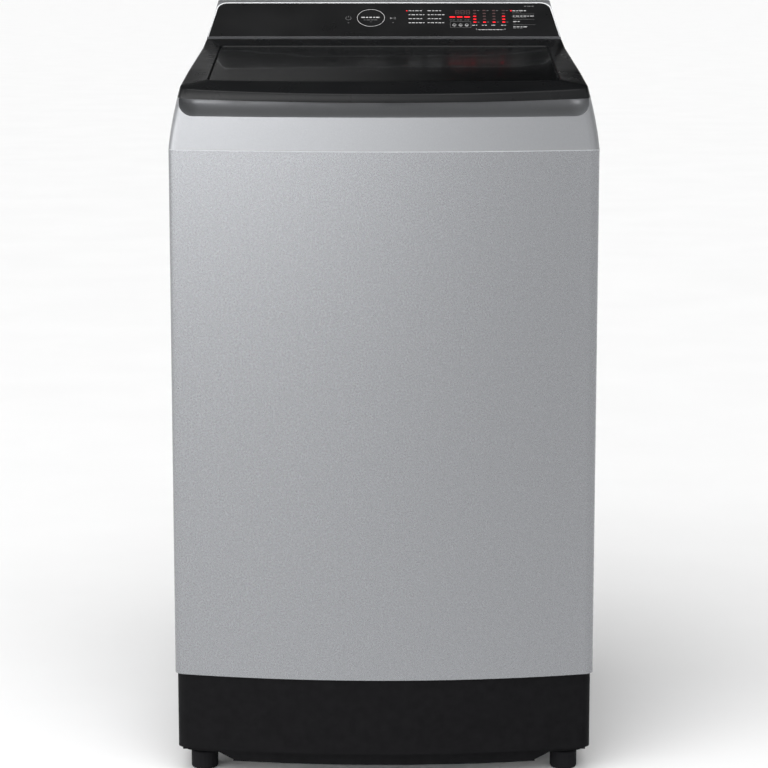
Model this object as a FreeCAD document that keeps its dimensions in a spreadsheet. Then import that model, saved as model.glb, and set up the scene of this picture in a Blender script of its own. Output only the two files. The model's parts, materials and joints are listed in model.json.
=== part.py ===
import FreeCAD, Part

import math
import os
import re

import Sketcher

# A top load washing machine: sheet metal cabinet on a plastic base, a moulded top cover with
# a glass lid and a sloping console, and a suspended tub with its basket, pulsator, planetary
# gearbox, belt and motor. Millimetres. The origin is on the floor under the middle of the
# machine: +X is to the right of a person who faces it, +Y goes to the back, +Z is up.

SIZES = {
    # cabinet
    "cabinet_width": 540, "front_reach": 284, "back_reach": 270, "bow_radius": 1090,
    "front_corner": 15, "rear_corner": 8, "sheet": 1, "panel_bottom": 136, "seam": 811,
    "total_height": 988, "rear_opening": 470, "rear_flange": 28, "panel_lap": 13,
    "panel_sheet": 1.2, "screw_radius": 2, "screw_head": 4.5,
    # base and feet
    "base_inset": 3, "base_wall": 3, "base_bottom": 37, "skirt_inset": 10, "skirt_setback": 22,
    "skirt_bottom": 17, "skirt_corner": 28, "valance_half": 196, "valance_shoulder": 215,
    "tongue": 14, "foot_x": 235, "foot_front": 212, "foot_back": 215, "foot_radius": 17.5,
    "pad_height": 24, "stem_radius": 5, "stem_top": 70, "boss_radius": 11, "boss_top": 46,
    "nut_radius": 9.5, "nut_height": 7, "thread_gap": 0.05, "guard_level": 44,
    # top cover, lid and console envelope: half widths, front reaches and corners by level
    "lip_height": 870, "lip_reach": 276, "deck_rise": 0.13165, "cover_wall": 2.5,
    "lip_half": 260, "crown_height": 930, "crown_half": 243.6, "crown_reach": 270,
    "peak_height": 990, "peak_half": 229, "peak_reach": 262, "corner_growth": 4.5,
    "opening_half": 188, "opening_front": 212, "opening_back": 46, "opening_corner": 70,
    "neck_bottom": 800, "scoop_radius": 20, "scoop_half_angle": 12.7, "scoop_depth": 12,
    # lid
    "lid_gap": 0.8, "crease_height": 881, "crease_reach": 277, "window_front": 236,
    "window_front_height": 894.3, "window_back": 45, "window_back_height": 928.3,
    "lid_back": 72, "lid_back_height": 938, "lid_wall": 3, "window_half_front": 221,
    "window_half_back": 218, "glass_sheet": 4, "glass_gap": 0.3, "lid_fillet": 2,
    "hinge_y": 62, "hinge_z": 926, "pin_radius": 2.5, "pin_gap": 0.06, "channel_radius": 16.2,
    "knuckle": 4.4, "arm_inner": 190, "arm_outer": 196, "block_inner": 197.5,
    "block_outer": 209,
    # console
    "fascia_y": 76, "fascia_z": 940, "fascia_top_y": 138, "fascia_top_z": 985.6,
    "fascia_sheet": 2, "fascia_corner": 14, "trim_width": 1.6, "trim_rise": 0.4,
    # tub, basket and pulsator, on the tub's own axis
    "tub_y": -10, "tub_radius": 232, "tub_wall": 3, "tub_floor": 300, "tub_rim": 770,
    "ring_top": 782, "mouth_radius": 188, "hub_radius": 34, "basket_radius": 214,
    "basket_sheet": 1, "basket_floor": 322, "basket_top": 745, "balance_top": 767,
    "balance_inner": 186, "recess_radius": 171, "pulsator_radius": 168, "pulsator_level": 338,
    # drive line
    "shaft_radius": 10, "bolt_radius": 3, "spin_radius": 20, "running_gap": 0.05, "sun_radius": 6,
    "bearing_radius": 32, "bearing_height": 12, "gear_bottom": 238, "gear_height": 12,
    "gear_module": 1.25, "sun_teeth": 18, "planet_teeth": 27, "ring_teeth": 72,
    "tooth_slack": 0.16, "housing_radius": 58, "plate_bottom": 294,
    "motor_offset": 135, "motor_radius": 48, "pulley_bottom": 178, "pulley_height": 20,
    "big_groove": 72, "small_groove": 18, "groove_lip": 8, "belt_sheet": 4, "belt_gap": 0.3,
    # suspension
    "rod_x": 205, "rod_y": 195, "rod_radius": 4, "rod_bottom": 250, "bracket_level": 790,
    "lug_level": 330, "lug_height": 15, "cup_radius": 14, "spring_inner": 9,
    # services
    "port_radius": 13.2, "port_collar": 17, "port_reach": 284, "port_z": 862, "cold_x": 150, "hot_x": 205,
    "spigot_radius": 14, "spigot_x": 200, "spigot_z": 95, "drawer_left": -172,
    "drawer_right": -48, "drawer_bottom": 845, "drawer_top": 883, "drawer_back": 194,
}

DOC = FreeCAD.newDocument("washing_machine")
SHEET = DOC.addObject("Spreadsheet::Sheet", "Sizes")
NODES = {}


def fill_sheet():
    """The driving dimensions, one row each: the name and the aliased number."""
    for row, (alias, size) in enumerate(SIZES.items(), start=1):
        SHEET.set(f"A{row}", alias)
        SHEET.set(f"B{row}", str(size))
        SHEET.setAlias(f"B{row}", alias)
    DOC.recompute()


def sized(expression):
    """The expression with each alias pointing at the sheet."""
    pattern = r"[a-z_]+"
    return re.sub(pattern, lambda word: f"Sizes.{word[0]}" if word[0] in SIZES else word[0],
                  str(expression))


def value(expression):
    """The number that an expression of the sheet's aliases stands for."""
    return float(SHEET.evalExpression(str(expression)))


def deck(y):
    """Height of the plane where the lid and the console meet the top cover."""
    return f"(lip_height + ({y} + lip_reach) * deck_rise)"


def node(name, item):
    """Names a finished piece, which is written to its own file."""
    item.Label = name
    NODES[name] = item
    return item


def place(item, x=0, y=0, z=0, turn=None):
    if turn is not None:
        item.Placement = FreeCAD.Placement(FreeCAD.Vector(), FreeCAD.Rotation(*turn))
    for axis, distance in zip("xyz", (x, y, z)):
        item.setExpression(f"Placement.Base.{axis}", sized(distance))
    return item


ALONG = {
    "X": (FreeCAD.Vector(0, 1, 0), 90),
    "Y": (FreeCAD.Vector(1, 0, 0), -90),
    "Z": (FreeCAD.Vector(0, 0, 1), 0),
}


def box(name, x, y, z):
    """A block between the given spans."""
    item = DOC.addObject("Part::Box", name)
    for side, (low, high) in zip(("Length", "Width", "Height"), (x, y, z)):
        item.setExpression(side, sized(f"({high}) - ({low})"))
    return place(item, x[0], y[0], z[0])


def cylinder(name, radius, length, x=0, y=0, z=0, along="Z"):
    """A round bar that starts at x, y, z and runs along a positive axis."""
    item = DOC.addObject("Part::Cylinder", name)
    item.setExpression("Radius", sized(radius))
    item.setExpression("Height", sized(length))
    return place(item, x, y, z, ALONG[along])


def fuse(name, *parts):
    item = DOC.addObject("Part::MultiFuse", name)
    item.Shapes = list(parts)
    return item


def common(name, *parts):
    item = DOC.addObject("Part::MultiCommon", name)
    item.Shapes = list(parts)
    return item


def cut(name, base, *tools):
    item = DOC.addObject("Part::Cut", name)
    item.Base = base
    item.Tool = tools[0] if len(tools) == 1 else fuse(f"{name}_tools", *tools)
    return item


def group(name, *parts):
    """Separate solids that share one node."""
    item = DOC.addObject("Part::Compound", name)
    item.Links = list(parts)
    return item


def new_body(name):
    return DOC.addObject("PartDesign::Body", name)


def new_sketch(body, plane, level=0):
    """A sketch on one of the body's own planes, raised by level."""
    sketch = body.newObject("Sketcher::SketchObject", f"{body.Name}_sketch")
    origin_plane = next(item for item in body.Origin.OriginFeatures if item.Role == plane)
    sketch.AttachmentSupport = [(origin_plane, "")]
    sketch.MapMode = "FlatFace"
    sketch.setExpression("AttachmentOffset.Base.z", sized(level))
    return sketch


def pin_point(sketch, piece, end, x, y):
    """Fixes a sketch point at two expressions."""
    for kind, axis, distance in (("DistanceX", -2, x), ("DistanceY", -1, y)):
        number = value(distance)
        if abs(number) < 1e-9:
            sketch.addConstraint(Sketcher.Constraint("PointOnObject", piece, end, axis))
            continue
        index = sketch.addConstraint(Sketcher.Constraint(kind, -1, 1, piece, end, number))
        sketch.setExpression(f"Constraints[{index}]", sized(distance))


def size_radius(sketch, piece, radius):
    index = sketch.addConstraint(Sketcher.Constraint("Radius", piece, value(radius)))
    sketch.setExpression(f"Constraints[{index}]", sized(radius))


def draw_polygon(sketch, points):
    """Straight sides through the points, each held by its own two distances."""
    corners = [FreeCAD.Vector(value(x), value(y), 0) for x, y in points]
    for start, end in zip(corners, corners[1:] + corners[:1]):
        sketch.addGeometry(Part.LineSegment(start, end))
    for index in range(len(points)):
        following = (index + 1) % len(points)
        sketch.addConstraint(Sketcher.Constraint("Coincident", index, 2, following, 1))
    for index, (x, y) in enumerate(points):
        pin_point(sketch, index, 1, x, y)


def draw_outline(sketch, half, front, back, corner, rear_corner):
    """A plan outline: bowed front, straight sides and back, four round corners."""
    half_width, rear = value(half), value(back)
    bow, nose, tail = value("bow_radius"), value(corner), value(rear_corner)
    bow_y = bow - value(front)
    nose_x = half_width - nose
    nose_y = bow_y - math.sqrt((bow - nose) ** 2 - nose_x ** 2)
    meet = math.atan2(nose_y - bow_y, nose_x)
    tail_x, tail_y = half_width - tail, rear - tail
    up = FreeCAD.Vector(0, 0, 1)

    def arc(x, y, radius, start, end):
        return Part.ArcOfCircle(Part.Circle(FreeCAD.Vector(x, y, 0), up, radius), start, end)

    def line(x0, y0, x1, y1):
        return Part.LineSegment(FreeCAD.Vector(x0, y0, 0), FreeCAD.Vector(x1, y1, 0))

    sketch.addGeometry([
        arc(0, bow_y, bow, -math.pi - meet, meet),
        arc(nose_x, nose_y, nose, meet, 0),
        line(half_width, nose_y, half_width, tail_y),
        arc(tail_x, tail_y, tail, 0, math.pi / 2),
        line(tail_x, rear, -tail_x, rear),
        arc(-tail_x, tail_y, tail, math.pi / 2, math.pi),
        line(-half_width, tail_y, -half_width, nose_y),
        arc(-nose_x, nose_y, nose, math.pi, math.pi - meet),
    ], False)
    for index in range(8):
        sketch.addConstraint(Sketcher.Constraint("Tangent", index, 2, (index + 1) % 8, 1))
    for side, direction in ((2, "Vertical"), (6, "Vertical"), (4, "Horizontal")):
        sketch.addConstraint(Sketcher.Constraint(direction, side))
    sketch.addConstraint(Sketcher.Constraint("Equal", 1, 7))
    sketch.addConstraint(Sketcher.Constraint("Equal", 3, 5))
    size_radius(sketch, 0, "bow_radius")
    size_radius(sketch, 1, corner)
    size_radius(sketch, 3, rear_corner)
    for kind, piece, end, distance in (
        ("DistanceX", 2, 1, half),
        ("DistanceX", 6, 1, f"-({half})"),
        ("DistanceY", 4, 1, back),
        ("DistanceY", 0, 3, f"bow_radius - ({front})"),
    ):
        index = sketch.addConstraint(
            Sketcher.Constraint(kind, -1, 1, piece, end, value(distance)))
        sketch.setExpression(f"Constraints[{index}]", sized(distance))
    sketch.addConstraint(Sketcher.Constraint("PointOnObject", 0, 3, -2))


def pad(body, sketch, length, midplane=False, reverse=False):
    feature = body.newObject("PartDesign::Pad", f"{body.Name}_pad")
    feature.Profile = sketch
    feature.setExpression("Length", sized(length))
    feature.Midplane = midplane
    feature.Reversed = reverse
    return feature


def turned(name, profile, x=0, y=0, z=0, along="Z"):
    """A body turned about its own axis from (radius, height) corners."""
    body = new_body(name)
    sketch = new_sketch(body, "XZ_Plane")
    draw_polygon(sketch, profile)
    revolution = body.newObject("PartDesign::Revolution", f"{name}_turn")
    revolution.Profile = sketch
    revolution.ReferenceAxis = (sketch, ["V_Axis"])
    revolution.Angle = 360
    return place(body, x, y, z, ALONG[along])


def prism(name, points, half_width):
    """A side profile of (y, z) corners, carried across the machine's width."""
    body = new_body(name)
    sketch = new_sketch(body, "YZ_Plane")
    draw_polygon(sketch, points)
    pad(body, sketch, f"2 * ({half_width})", midplane=True)
    return body


def plan_body(name, low, high, *outline):
    """The plan outline raised between two levels."""
    body = new_body(name)
    sketch = new_sketch(body, "XY_Plane", low)
    draw_outline(sketch, *outline)
    pad(body, sketch, f"({high}) - ({low})")
    return body


def plan_ring(name, low, high, inset, setback, wall):
    """A wall of even thickness along the plan outline, open above and below."""
    outer = plan_body(f"{name}_outer", low, high, f"cabinet_width / 2 - {inset}",
                      f"front_reach - {setback}", f"back_reach - {inset}",
                      "front_corner", "rear_corner")
    inner = plan_body(f"{name}_inner", f"{low} - 1", f"{high} + 1",
                      f"cabinet_width / 2 - {inset} - {wall}",
                      f"front_reach - {setback} - {wall}",
                      f"back_reach - {inset} - {wall}", "front_corner - 3", "rear_corner - 3")
    return cut(name, outer, inner)


def upright_edges(shape):
    """Names of a shape's vertical edges."""
    names = []
    for index, edge in enumerate(shape.Edges, start=1):
        direction = edge.Vertexes[-1].Point - edge.Vertexes[0].Point
        if math.hypot(direction.x, direction.y) < 1e-6 and abs(direction.z) > 1:
            names.append(f"Edge{index}")
    return names


def rounded_block(name, x, y, z, radius):
    """A block with four rounded upright edges."""
    body = new_body(name)
    sketch = new_sketch(body, "XY_Plane", z[0])
    draw_polygon(sketch, [(x[0], y[0]), (x[1], y[0]), (x[1], y[1]), (x[0], y[1])])
    feature = pad(body, sketch, f"({z[1]}) - ({z[0]})")
    DOC.recompute()
    fillet = body.newObject("PartDesign::Fillet", f"{name}_fillet")
    fillet.Base = (feature, upright_edges(feature.Shape))
    fillet.setExpression("Radius", sized(radius))
    return body


def envelope(name, inset, drop):
    """The drafted outer form of cover, lid and console, inset all round; drop lowers its foot."""
    levels = (
        ("seam", "cabinet_width / 2", "front_reach"),
        ("lip_height", "lip_half", "lip_reach"),
        ("crown_height", "crown_half", "crown_reach"),
        ("peak_height", "peak_half", "peak_reach"),
    )
    sections = []
    for step, (level, half, front) in enumerate(levels):
        sketch = DOC.addObject("Sketcher::SketchObject", f"{name}_section_{step}")
        corner = f"front_corner + {step} * corner_growth - ({inset})"
        draw_outline(sketch, f"{half} - ({inset})", f"{front} - ({inset})",
                     f"back_reach - ({inset})", corner, f"rear_corner - ({inset})")
        place(sketch, 0, 0, f"{level} - {drop}" if step == 0 else level)
        sections.append(sketch)
    loft = DOC.addObject("Part::Loft", name)
    loft.Sections = sections
    loft.Solid = True
    return loft


# ---------------------------------------------------------------- cabinet and base

def foot_places():
    """Names and places of the four feet."""
    return (
        ("front_left", "-foot_x", "-foot_front"), ("front_right", "foot_x", "-foot_front"),
        ("back_left", "-foot_x", "foot_back"), ("back_right", "foot_x", "foot_back"),
    )


def screw_places():
    """X and Z of the screws round the rear panel."""
    columns = [("-rear_opening / 2 - 6", row) for row in (200, 370, 580, 750)]
    columns += [("rear_opening / 2 + 6", row) for row in (200, 370, 580, 750)]
    return columns


def make_cabinet():
    shell = plan_ring("cabinet", "panel_bottom", "seam", 0, 0, "sheet")
    back = box("cabinet_rear_cut", ("-rear_opening / 2", "rear_opening / 2"),
               ("back_reach - 5", "back_reach + 5"),
               ("panel_bottom + rear_flange", "seam - rear_flange"))
    holes = [cylinder(f"screw_hole_{index}", "screw_radius", 12, x, "back_reach - 6", z, "Y")
             for index, (x, z) in enumerate(screw_places())]
    node("cabinet_shell", cut("cabinet_cut", shell, back, *holes))

    sheet = rounded_block("panel_sheet_body",
                          ("-rear_opening / 2 - panel_lap", "rear_opening / 2 + panel_lap"),
                          ("back_reach", "back_reach + panel_sheet"),
                          ("panel_bottom + 14", "seam - 11"), "panel_sheet / 4")
    gland_hole = cylinder("gland_hole", 9, 12, -190, "back_reach - 6", 760, "Y")
    node("rear_panel", cut("rear_panel_cut", sheet, gland_hole, *holes))
    screws = []
    for index, (x, z) in enumerate(screw_places()):
        shank = cylinder(f"screw_shank_{index}", "screw_radius", "sheet + panel_sheet + 4",
                         x, "back_reach - sheet - 4", z, "Y")
        head = cylinder(f"screw_head_{index}", "screw_head", 2.2,
                        x, "back_reach + panel_sheet", z, "Y")
        screws.append(fuse(f"screw_{index}", shank, head))
    node("rear_panel_screws", group("screw_group", *screws))

    gland = turned("gland_body", [(4.2, -6), (9, -6), (9, "panel_sheet"), (13, "panel_sheet"),
                                  (13, "panel_sheet + 3"), (7, "panel_sheet + 9"),
                                  (4.2, "panel_sheet + 9")],
                   -190, "back_reach", 760, "Y")
    node("cord_gland", gland)


def make_base():
    apron = plan_ring("apron", "base_bottom", "panel_bottom", "base_inset", "base_inset", "base_wall")
    tongue = plan_ring("base_tongue", "panel_bottom - 4", "panel_bottom + tongue",
                  "base_inset", "base_inset", "base_wall")
    tongue_fit = plan_ring("tongue_fit", "panel_bottom", "panel_bottom + tongue + 1",
                      0, 0, "base_inset + 0.4")
    shelf = plan_ring("shelf", "base_bottom", "base_bottom + 4", "base_inset", "base_inset", 26)
    skirt = plan_ring("skirt", "skirt_bottom", "base_bottom + 2", "skirt_inset", "skirt_setback",
                 "base_wall")
    rear_notch = box("skirt_rear_cut", (-300, 300), (-180, 300), (0, "skirt_corner"))
    side_notches = []
    for side in (-1, 1):
        body = new_body(f"shoulder_{side + 2}")
        sketch = new_sketch(body, "XZ_Plane")
        draw_polygon(sketch, [(f"{side} * valance_half", 0),
                              (f"{side} * valance_half", "skirt_bottom + 2"),
                              (f"{side} * valance_shoulder", "skirt_corner"),
                              (f"{side} * 300", "skirt_corner"), (f"{side} * 300", 0)])
        pad(body, sketch, 600, midplane=True)
        side_notches.append(body)

    pads, bores = [], []
    for name, x, y in foot_places():
        side = -1 if "left" in name else 1
        near, far = f"{side} * (foot_x - 24)", f"{side} * (foot_x + 27)"
        span_x = (near, far) if side > 0 else (far, near)
        span_y = (f"{y} - 22", f"{y} + 24") if "front" in name else (f"{y} - 24", f"{y} + 48")
        pads.append(box(f"pad_{name}", span_x, span_y, ("skirt_corner + 2", "base_bottom + 4")))
        pads.append(cylinder(f"boss_{name}", "boss_radius", "boss_top - 28", x, y, 28))
        bores.append(cylinder(f"bore_{name}", "stem_radius + thread_gap", 80, x, y, 0))
    spigot_hole = cylinder("spigot_hole", "spigot_radius + 2", 30, "spigot_x", "back_reach - 20",
                           "spigot_z", "Y")
    whole = fuse("base_solid", apron, tongue, shelf, skirt, *pads)
    node("base_frame", cut("base_cut", whole, tongue_fit, rear_notch, spigot_hole,
                           *side_notches, *bores))

    guard = rounded_block("guard_block", (-240, 240), (-225, 245),
                          ("guard_level", "guard_level + 2"), 20)
    passes = [cylinder(f"guard_pass_{name}", "boss_radius + 2", 20, x, y, 36)
              for name, x, y in foot_places()]
    vents = [box(f"guard_vent_{index}", (-150, 150), (y, f"{y} + 14"), (40, 50))
             for index, y in enumerate(range(-160, 180, 40))]
    node("rodent_guard", cut("guard_cut", guard, *passes, *vents))


def make_feet():
    rear = []
    for name, x, y in foot_places():
        pad_piece = turned(f"foot_{name}_turned", [
            (0, 0), ("foot_radius - 1.5", 0), ("foot_radius", 1.5),
            ("foot_radius", "pad_height - 2"), ("foot_radius - 3", "pad_height"),
            ("stem_radius", "pad_height"), ("stem_radius", "stem_top"), (0, "stem_top"),
        ], x, y)
        if "front" in name:
            node(f"foot_{name}", pad_piece)
        else:
            rear.append(pad_piece)
    node("rear_feet", group("rear_feet_group", *rear))
    nuts = []
    for name, x, y in foot_places()[:2]:
        prism_nut = DOC.addObject("Part::Prism", f"nut_{name}")
        prism_nut.Polygon = 6
        prism_nut.setExpression("Circumradius", sized("nut_radius"))
        prism_nut.setExpression("Height", sized("nut_height"))
        place(prism_nut, x, y, "boss_top")
        bore = cylinder(f"nut_bore_{name}", "stem_radius + thread_gap", 20, x, y, 40)
        nuts.append(cut(f"nut_cut_{name}", prism_nut, bore))
    node("foot_lock_nuts", group("nut_group", *nuts))


# ---------------------------------------------------------------- top cover, lid, console

def scoop(name, radius):
    """The finger scoop's tool: a round trough that follows the bow, with ball ends."""
    body = new_body(name)
    sketch = new_sketch(body, "YZ_Plane")
    ring_y, ring_z = value("scoop_depth - front_reach"), value("lip_height + 2")
    circle = Part.Circle(FreeCAD.Vector(ring_y, ring_z, 0), FreeCAD.Vector(0, 0, 1),
                         value(radius))
    sketch.addGeometry(circle)
    pin_point(sketch, 0, 3, "scoop_depth - front_reach", "lip_height + 2")
    size_radius(sketch, 0, radius)
    axis = sketch.addGeometry(Part.LineSegment(
        FreeCAD.Vector(value("bow_radius - front_reach"), 800, 0),
        FreeCAD.Vector(value("bow_radius - front_reach"), 900, 0)), True)
    pin_point(sketch, axis, 1, "bow_radius - front_reach", 800)
    pin_point(sketch, axis, 2, "bow_radius - front_reach", 900)
    sweep = body.newObject("PartDesign::Revolution", f"{name}_sweep")
    sweep.Profile = sketch
    sweep.ReferenceAxis = (sketch, ["Axis0"])
    sweep.setExpression("Angle", sized("2 * scoop_half_angle"))
    sweep.Midplane = True
    balls = []
    for side in (-1, 1):
        ball = DOC.addObject("Part::Sphere", f"{name}_ball_{side + 2}")
        ball.setExpression("Radius", sized(radius))
        reach = "(bow_radius - scoop_depth)"
        place(ball, f"{side} * {reach} * sin(scoop_half_angle * 1deg)",
              f"bow_radius - front_reach - {reach} * cos(scoop_half_angle * 1deg)",
              "lip_height + 2")
        balls.append(ball)
    return fuse(f"{name}_trough", body, *balls)


def make_cover(outer, inner):
    below = prism("below_deck", [(-300, "seam"), (300, "seam"), (300, deck(300)),
                                 (-300, deck(-300))], 300)
    cavity_cut = prism("below_cavity", [
        (-300, "seam - 5"), (300, "seam - 5"), (300, f"{deck(300)} - cover_wall"),
        (-300, f"{deck(-300)} - cover_wall")], 300)
    solid = common("cover_solid", outer, below)
    cavity = common("cover_cavity", inner, cavity_cut)
    skin = cut("cover_skin", solid, cavity)

    neck_outer = rounded_block("neck_outer", ("-opening_half - cover_wall",
                                              "opening_half + cover_wall"),
                               ("-opening_front - cover_wall", "opening_back + cover_wall"),
                               ("neck_bottom", 960), "opening_corner + cover_wall")
    neck_slope = prism("neck_slope", [(-300, 700), (300, 700), (300, deck(300)),
                                      (-300, deck(-300))], 300)
    neck = common("neck_wall", neck_outer, neck_slope)
    opening = rounded_block("opening_tool", ("-opening_half", "opening_half"),
                            ("-opening_front", "opening_back"),
                            ("neck_bottom - 10", 970), "opening_corner")
    scoop_wall = common("scoop_wall", scoop("scoop_outer", "scoop_radius + cover_wall"), solid)
    scoop_tool = scoop("scoop_inner", "scoop_radius")
    channel_wall = common("channel_wall", cylinder(
        "channel_outer", "channel_radius + cover_wall", 600, -300, "hinge_y", "hinge_z", "X"),
        solid)
    channel = cylinder("channel_inner", "channel_radius", 600, -300, "hinge_y", "hinge_z", "X")
    drawer_hole = box("drawer_hole", ("drawer_left - 0.8", "drawer_right + 0.8"),
                      ("opening_back - 30", "opening_back + 5"),
                      ("drawer_bottom - 0.8", "drawer_top + 0.8"))
    port_holes = [cylinder(f"port_hole_{index}", "port_collar + 0.4", 20, x,
                           "back_reach - 12", "port_z", "Y")
                  for index, x in enumerate(("cold_x", "hot_x"))]
    shell = fuse("cover_shell", skin, neck, scoop_wall, channel_wall)
    node("top_cover", cut("cover_cut", shell, opening, scoop_tool, channel, drawer_hole,
                          *port_holes))

    blocks = []
    for side, low, high in ((-1, "-block_outer", "-block_inner"),
                            (1, "block_inner", "block_outer")):
        stand = box(f"hinge_stand_{side + 2}", (low, high),
                    ("hinge_y - knuckle", "hinge_y + knuckle"),
                    ("hinge_z - channel_radius - 2", "hinge_z"))
        top = cylinder(f"hinge_top_{side + 2}", "knuckle", f"{high} - ({low})", low,
                       "hinge_y", "hinge_z", "X")
        inside = cylinder(f"hinge_inside_{side + 2}", "channel_radius", 30, f"({low}) - 5",
                          "hinge_y", "hinge_z", "X")
        bore = cylinder(f"hinge_bore_{side + 2}", "pin_radius + pin_gap", 30, f"({low}) - 5",
                        "hinge_y", "hinge_z", "X")
        blocks.append(cut(f"hinge_block_{side + 2}", common(
            f"hinge_block_fit_{side + 2}", fuse(f"hinge_block_solid_{side + 2}", stand, top),
            inside), bore))
    node("hinge_blocks", group("hinge_block_group", *blocks))


def lid_line(lower):
    """The lid's upper side profile, front to back, lowered by a distance."""
    rise = "(window_front_height - crease_height) / (crease_reach - window_front)"
    return [(-300, f"crease_height - (300 - crease_reach) * {rise} - ({lower})"),
            ("-window_front", f"window_front_height - ({lower})"),
            ("window_back", f"window_back_height - ({lower})"),
            ("lid_back", f"lid_back_height - ({lower})")]


def window_block(name, grow, low, high):
    """The window's outline, grown all round, as an upright block."""
    body = new_body(name)
    sketch = new_sketch(body, "XY_Plane", low)
    front, back = f"-window_front - {grow}", f"window_back + {grow}"
    draw_polygon(sketch, [(f"-window_half_front - {grow}", front),
                          (f"window_half_front + {grow}", front),
                          (f"window_half_back + {grow}", back),
                          (f"-window_half_back - {grow}", back)])
    pad(body, sketch, f"({high}) - ({low})")
    return body


def make_lid(outer, inner):
    side = lid_line(0)
    body_block = prism("lid_block", [(-300, f"{deck(-300)} + lid_gap"), *side,
                                     ("lid_back", f"{deck('lid_back')} + lid_gap")], 300)
    under = lid_line("lid_wall")
    hollow_block = prism("lid_hollow_block", [
        (-300, 840), *under[:-1],
        ("lid_back - lid_wall", "lid_back_height - lid_wall - 1"),
        ("lid_back - lid_wall", 890)], 300)
    solid = common("lid_solid", outer, body_block)
    hollow = common("lid_hollow", inner, hollow_block)
    DOC.recompute()
    rounded = DOC.addObject("Part::Fillet", "lid_rounded")
    rounded.Base = solid
    rounded.Edges = [(index, value("lid_fillet"), value("lid_fillet"))
                     for index in crown_edges(solid.Shape)]
    notches = [box(f"lid_notch_{side + 2}", (low, high), ("hinge_y - 8", "lid_back + 5"),
                   (890, "hinge_z + knuckle + 2"))
               for side, low, high in ((-1, "-block_outer - 1.5", "-block_inner + 1"),
                                       (1, "block_inner - 1", "block_outer + 1.5"))]
    window = window_block("window_tool", 0, 860, 960)
    node("lid_frame", cut("lid_cut", rounded, hollow, window, *notches))

    glass_top, glass_low = lid_line(0.2), lid_line("glass_sheet + 0.2")
    glass_slab = prism("glass_slab", glass_top + glass_low[::-1], 300)
    glass_area = window_block("glass_area", "-glass_gap", 860, 960)
    node("lid_glass", common("lid_glass_sheet", glass_slab, glass_area))

    frame_top, frame_low = lid_line("glass_sheet + 0.2"), lid_line("glass_sheet + 3.2")
    frame_slab = prism("inner_frame_slab", frame_top[:-1]
                       + [("lid_back - lid_wall - 1", "lid_back_height - 7.5")]
                       + [("lid_back - lid_wall - 1", "lid_back_height - 10.5")]
                       + frame_low[:-1][::-1], 300)
    frame_area = rounded_block("inner_frame_area", (-300, 300), (-300, "lid_back"),
                               (840, 960), 5)
    see_through = window_block("see_through", -14, 840, 970)
    plate = common("inner_frame_plate", frame_slab, frame_area, inner)
    hollowed = cut("inner_frame_open", plate, see_through, *notches)
    arms = []
    for side, low, high in ((-1, "-arm_outer", "-arm_inner"), (1, "arm_inner", "arm_outer")):
        arm = box(f"arm_{side + 2}", (low, high), ("hinge_y - 14", "hinge_y + 5"),
                  ("hinge_z - 4.5", "hinge_z + 14"))
        arms.append(arm)
    arm_fit = prism("arm_fit", [(0, f"{deck(0)} + lid_gap"), *frame_low[2:],
                                ("lid_back", f"{deck('lid_back')} + lid_gap")], 300)
    arm_pieces = common("arm_pieces", fuse("arm_pair", *arms), arm_fit)
    pin_holes = cylinder("arm_bore", "pin_radius", 600, -300, "hinge_y", "hinge_z", "X")
    node("lid_inner_frame", cut("inner_frame_cut", fuse("inner_frame_solid", hollowed,
                                                        arm_pieces), pin_holes))
    pins = [cylinder(f"hinge_pin_{side + 2}", "pin_radius", "block_outer + 1 - arm_inner",
                     start, "hinge_y", "hinge_z", "X")
            for side, start in ((-1, "-block_outer - 1"), (1, "arm_inner"))]
    node("hinge_pins", group("hinge_pin_group", *pins))
    bumpers = []
    for side in (-1, 1):
        foot = cylinder(f"bumper_{side + 2}", 5, 30, f"{side} * 196", -246, 865)
        bumpers.append(foot)
    bumper_fit = prism("bumper_fit", [(-270, f"{deck(-270)} + 0.3"),
                                      (-270, f"{deck(-270)} + 9"),
                                      (-220, f"{deck(-220)} + 9"),
                                      (-220, f"{deck(-220)} + 0.3")], 300)
    under_frame = prism("under_inner_frame", [(-300, 840), *frame_low[:2], (-200, 840)], 300)
    node("lid_bumpers", common("bumper_pads", group("bumper_pair", *bumpers), bumper_fit,
                               under_frame))


def crown_edges(shape):
    """Numbers of the edges where the lid's top meets its drafted front and sides."""
    line = [(value(y), value(z)) for y, z in lid_line(0)]

    def top_height(y):
        for (y0, z0), (y1, z1) in zip(line, line[1:]):
            if y <= y1:
                return z0 + (z1 - z0) * (y - y0) / (y1 - y0)
        return line[-1][1]

    found = []
    for index, edge in enumerate(shape.Edges, start=1):
        ends = [vertex.Point for vertex in edge.Vertexes]
        level = all(abs(top_height(end.y) - end.z) < 0.5 for end in ends)
        if level and abs(ends[0].x + ends[1].x) + abs(ends[0].y - ends[1].y) > 1:
            found.append(index)
        elif level and ends[0].y < value("-window_front") - 1:
            found.append(index)
    return found


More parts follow.
